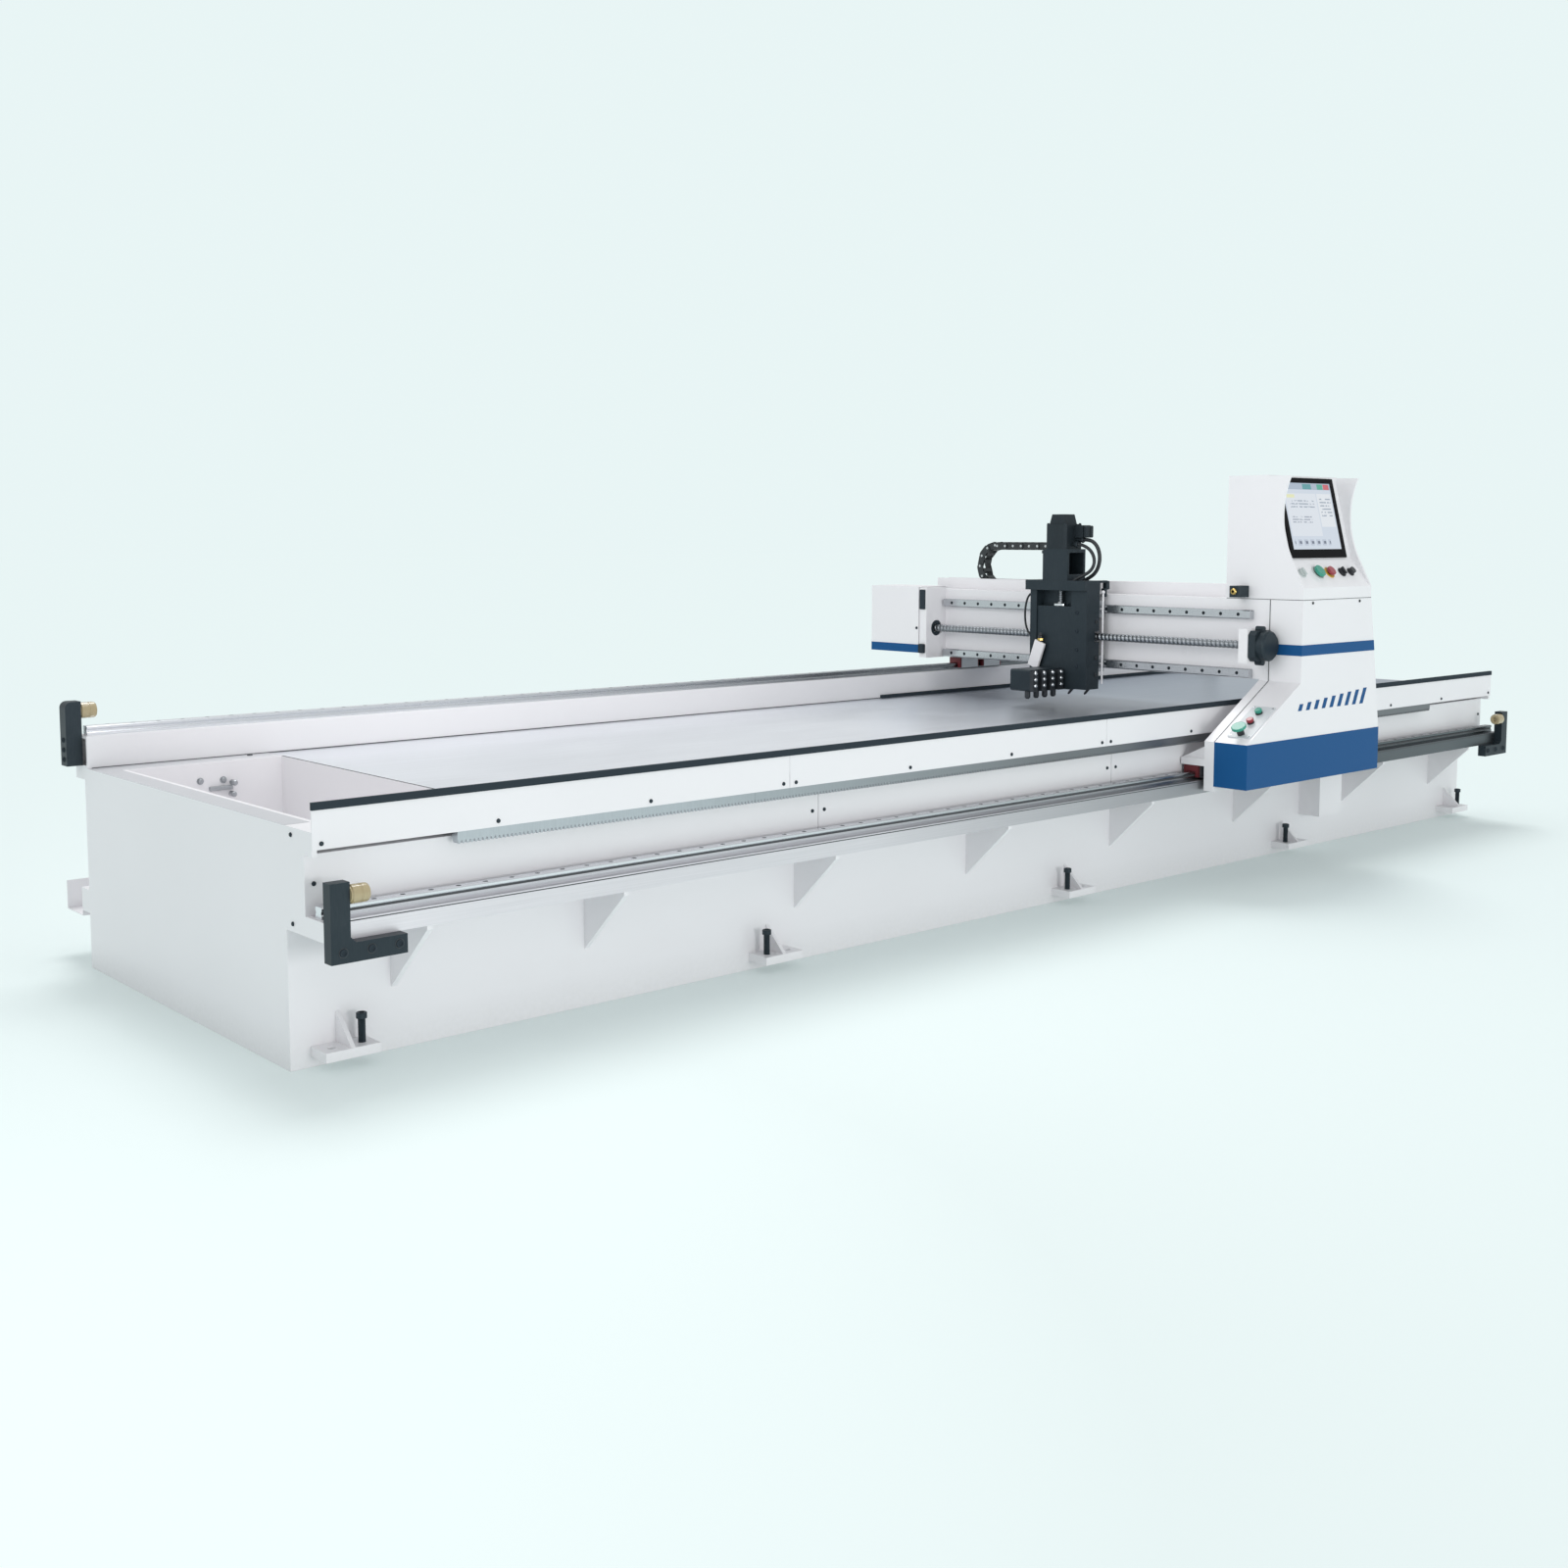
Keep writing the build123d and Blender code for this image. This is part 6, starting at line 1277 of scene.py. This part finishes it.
    def build(self) -> None:
        """Build every piece of the carriage."""
        self.cables()
        self.saddle_screws()
        self.oil_pipe()
        self.oil_fingers()
        self.plate_hook()
        self.feed_screw()
        self.head_fittings()
        self.motor_fittings()


@dataclass(frozen=True)
class ChainRun:
    """One cable chain: its section, its lower run and bend, and its upper run."""

    name: str
    along: Point
    across: Point
    middle: float
    width: float
    height: float
    pitch: float
    bend: float
    bend_radius: float
    low: float
    lower: float
    upper: tuple[float, float]
    fixed: str
    rolling: str

    def place(self, run: float, up: float) -> np.ndarray:
        """Return a point of the chain's middle plane."""
        return np.array(self.along) * run + np.abs(self.across) * self.middle + np.array((0.0, 0.0, up))

    @property
    def half_link(self) -> float:
        """Return half of a side plate's length."""
        return self.pitch / 2 + 0.30 * self.height

    def rolled(self) -> list[Spot]:
        """Return the place and basis of each link of the lower run and of the bend."""
        total = self.lower + pi * self.bend_radius
        runs = np.arange(self.half_link, total - 0.4 * self.half_link, self.pitch)
        turns = np.clip((runs - self.lower) / self.bend_radius, 0.0, pi)
        straight = np.minimum(runs, self.lower) + self.bend - self.lower
        spots = []
        for run, turn in zip(straight, turns):
            ahead = np.array(self.along) * cos(turn) + np.array((0.0, 0.0, sin(turn)))
            rise = np.array(self.along) * -sin(turn) + np.array((0.0, 0.0, cos(turn)))
            up = self.low + self.bend_radius * (1 - cos(turn))
            point = self.place(run + self.bend_radius * sin(turn), up)
            spots.append((point, np.array([ahead, rise, self.across])))
        return spots

    def stretched(self) -> list[Spot]:
        """Return the place and basis of each link of the upper run."""
        start, end = self.upper
        runs = np.arange(end - self.half_link, start + self.half_link - 0.001, -self.pitch)
        basis = np.array([self.along, (0.0, 0.0, 1.0), self.across])
        return [(self.place(run, self.low + 2 * self.bend_radius), basis) for run in runs]


@dataclass
class ChainLooks:
    """The two cable chains, link by link: side plates, crossbars and pins."""

    chains: tuple[ChainRun, ...] = (
        ChainRun(
            "y_chain", along=(0.0, 1.0, 0.0), across=(1.0, 0.0, 0.0), middle=1.060, width=0.060,
            height=0.035, pitch=0.047, bend=0.533, bend_radius=0.089, low=1.1119, lower=0.860,
            upper=(Side.FRONT.of("y_chain_upper"), Side.BACK.of("y_chain_upper")),
            fixed="carriage", rolling="y_chain_bend",
        ),
        ChainRun(
            "x_chain", along=(1.0, 0.0, 0.0), across=(0.0, -1.0, 0.0), middle=0.870, width=0.100,
            height=0.040, pitch=0.050, bend=1.900, bend_radius=0.090, low=0.1634, lower=2.665,
            upper=(Side.LEFT.of("x_chain_upper"), Side.RIGHT.of("x_chain_upper")),
            fixed="gantry", rolling="x_chain_bend",
        ),
    )
    plate: float = 0.004
    pin_radius: float = 0.0055

    def plates(self, chain: ChainRun, inset: float) -> Shell:
        """Return a link: two round-ended side plates, set in from the chain's sides, and two crossbars."""
        half = chain.half_link
        outline = rectangle(2 * half, chain.height * 0.985, chain.height * 0.44, 3)
        edge = chain.width / 2 - inset
        bar = 0.18 * chain.pitch
        top = chain.height * 0.4925
        shells = [
            extruded(outline, edge - self.plate, edge),
            extruded(outline, -edge, -edge + self.plate),
            box((-bar, top - 0.003, -edge), (bar, top, edge)),
            box((-bar, -top, -edge), (bar, -top + 0.003, edge)),
        ]
        return Shell.joined(shells)

    def pins(self, chain: ChainRun) -> Shell:
        """Return a link's two pin heads: flat turned discs on the outer faces, at its leading joint."""
        radius = self.pin_radius
        disc = revolved([(radius, 0.0), (radius, 0.0006), (0.8 * radius, 0.0012)], 14)
        joint = chain.pitch / 2
        face = chain.width / 2 - 0.0004
        return Shell.joined([disc.at((joint, 0.0, face)), disc.at((joint, 0.0, -face), Toward.DOWN)])

    def lay(self, chain: ChainRun, spots: list[Spot], name: str, body: str | None) -> list[bpy.types.Object]:
        """Lay the links and pins of one run.

        Args:
            chain: the chain.
            spots: the links' places and bases.
            name: the name of the run, and of the solid that it stands for.
            body: the body that it rides on, or None for a run between two bodies.

        Returns:
            The two objects, links and pins.
        """
        kinds = [self.plates(chain, 0.0), self.plates(chain, self.plate + 0.0003)]
        pins = self.pins(chain)
        links = [kinds[index % 2].at(*spot) for index, spot in enumerate(spots)]
        heads = [pins.at(*spot) for spot in spots]
        return [
            piece(name + "_links", links, body, Finish.CHAIN, replaces=[name]),
            piece(name + "_pins", heads, body, Finish.PIN),
        ]

    def build(self) -> None:
        """Build both chains: the rolling part rides on its bend, and the upper run is laid in place on no
        body.
        """
        for chain in self.chains:
            self.lay(chain, chain.rolled(), chain.name, chain.rolling)
            start, end = (chain.place(run, chain.low + 2 * chain.bend_radius) for run in chain.upper)
            for made in self.lay(chain, chain.stretched(), chain.name + "_upper", None):
                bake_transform(made)


@dataclass(frozen=True)
class Studio:
    """The pale floor, the soft light and the camera at the photograph's view."""

    camera_place: Point = (-4.8272, -4.6183, 1.338)
    camera_tilt: float = 84.76
    camera_turn: float = -41.6
    lens: float = 38.95
    sensor: float = 36.0
    shift_y: float = -0.0594
    view_depth: float = 500.0
    floor_half: float = 90.0
    floor_squares: int = 3
    floor_drop: float = 0.0005
    backdrop: Colour = (0.812, 0.914, 0.914)
    floor_glow: float = 0.20
    floor_base: Colour = (0.612, 0.672, 0.664)
    sky: float = 0.72
    sky_colour: Colour = (0.95, 0.985, 1.0)
    sun: float = 1.15
    sun_spread: float = 28.0
    sun_tilt: tuple[float, float] = (-22.0, 20.0)
    soft_boxes: tuple[tuple[str, float, float, Point, Point], ...] = (
        ("front", 250.0, 2.2, (-2.2, -12.0, 1.4), (-0.8, -0.8, 0.4)),
        ("over_table", 27.0, 2.0, (-2.4, -0.2, 2.4), (0.9, -0.2, 1.0)),
    )

    def aim_camera(self) -> None:
        """Set the camera as the photograph's was worked out to be."""
        data = bpy.data.cameras.new("camera")
        data.lens = self.lens
        data.sensor_width = self.sensor
        data.shift_y = self.shift_y
        data.clip_end = self.view_depth
        camera = placed("camera", data)
        camera.location = self.camera_place
        camera.rotation_euler = Euler((radians(self.camera_tilt), 0.0, radians(self.camera_turn)))
        bpy.context.scene.camera = camera

    def lay_floor(self) -> None:
        """Lay a wide floor: a flat grid of squares just under the machine, with a faint glow of its own."""
        step = self.floor_squares + 1
        line = np.linspace(-self.floor_half, self.floor_half, step)
        east, north = np.meshgrid(line, line, indexing="ij")
        points = np.stack([east, north, np.full_like(east, -self.floor_drop)], -1).reshape(-1, 3)
        index = np.arange(self.floor_squares)
        start = (index[:, None] * step + index).ravel()
        quads = np.stack([start, start + step, start + step + 1, start + 1], -1)
        mesh = bpy.data.meshes.new("floor")
        mesh.from_pydata(points.tolist(), [], quads.tolist())
        shader = Shader("studio_floor")
        cloud = shader.noise(0.8, detail=2.0)
        x, y, _ = shader.axes()

        def square(from_x: float, from_y: float) -> Signal:
            """Return the squared distance from a place on the floor."""
            return (x - from_x) * (x - from_x) + (y - from_y) * (y - from_y)

        # The floor's colour is painted paler away from the machine's front, and most of all beside its left
        # end: painted light that evens out the floor's brightness.
        painted_light_away = ((square(-0.8, -4.0) - 4.0) / 14.0).clipped()
        painted_light_beside = (square(-4.4, -1.6) / -5.0 + 1.0).clipped()
        base = shader.mix(painted_light_away + cloud * 0.1, self.floor_base, shade(self.floor_base, 1.06))
        base = shader.mix(painted_light_beside, base, shade(self.floor_base, 1.20))
        shader.set(
            Base_Color=base,
            Roughness=0.9,
            Specular_IOR_Level=0.0,
            Emission_Color=self.backdrop,
            Emission_Strength=self.floor_glow,
        )
        mesh.materials.append(shader.material)
        placed("studio_floor", mesh)

    def light(self) -> None:
        """Light the room: an even sky, a broad sun behind, and soft boxes in front and over the table."""
        world = bpy.data.worlds.new("studio")
        world.use_nodes = True
        nodes = Nodes(world.node_tree)
        nodes.tree.nodes.clear()
        rays = nodes.node("LightPath")
        seen = nodes.node("Background", inputs={"Color": self.backdrop})
        lit = nodes.node("Background", inputs={"Color": self.sky_colour, "Strength": self.sky})
        sides = {0: rays.outputs["Is Camera Ray"], 1: lit.outputs[0], 2: seen.outputs[0]}
        choose = nodes.node("MixShader", inputs=sides)
        nodes.node("OutputWorld", inputs={"Surface": choose.outputs[0]})
        bpy.context.scene.world = world
        lamp = bpy.data.lights.new("back_sun", "SUN")
        lamp.energy = self.sun
        lamp.angle = radians(self.sun_spread)
        sun = placed("back_sun", lamp)
        sun.rotation_euler = Euler((radians(self.sun_tilt[0]), radians(self.sun_tilt[1]), 0.0))
        for name, power, size, place, aim in self.soft_boxes:
            soft = bpy.data.lights.new(name, "AREA")
            soft.energy = power
            soft.size = size
            shine = placed(name, soft)
            shine.location = place
            shine.rotation_euler = (Vector(aim) - Vector(place)).to_track_quat("-Z", "Y").to_euler()
            shine.visible_camera = False
        bpy.context.scene.view_settings.view_transform = "Standard"


def dress_solids() -> None:
    """Give every solid the finish of its material slot."""
    finishes = {finish.value.name: finish for finish in Finish}
    slots = {part["node"]: part["material_slot"] for part in frame["record"]["subparts"]}
    screen = ConsoleLooks().screen_finish()
    for node, solid in frame["nodes"].items():
        finish = screen if slots[node] == screen.name else finishes[slots[node]]
        solid.data.materials.clear()
        solid.data.materials.append(PAINTS.of(finish))
        LOG.info("%s takes %s", node, slots[node])


def main() -> None:
    """Dress the solids, build each sub-assembly's pieces and set up the studio."""
    logging.basicConfig(level=logging.INFO, format="%(message)s")
    studio = Studio()
    studio.aim_camera()
    studio.lay_floor()
    studio.light()
    dress_solids()
    for assembly in (BedLooks(), GantryLooks(), ConsoleLooks(), CarriageLooks(), ChainLooks()):
        assembly.build()


if __name__ == "__main__":
    main()
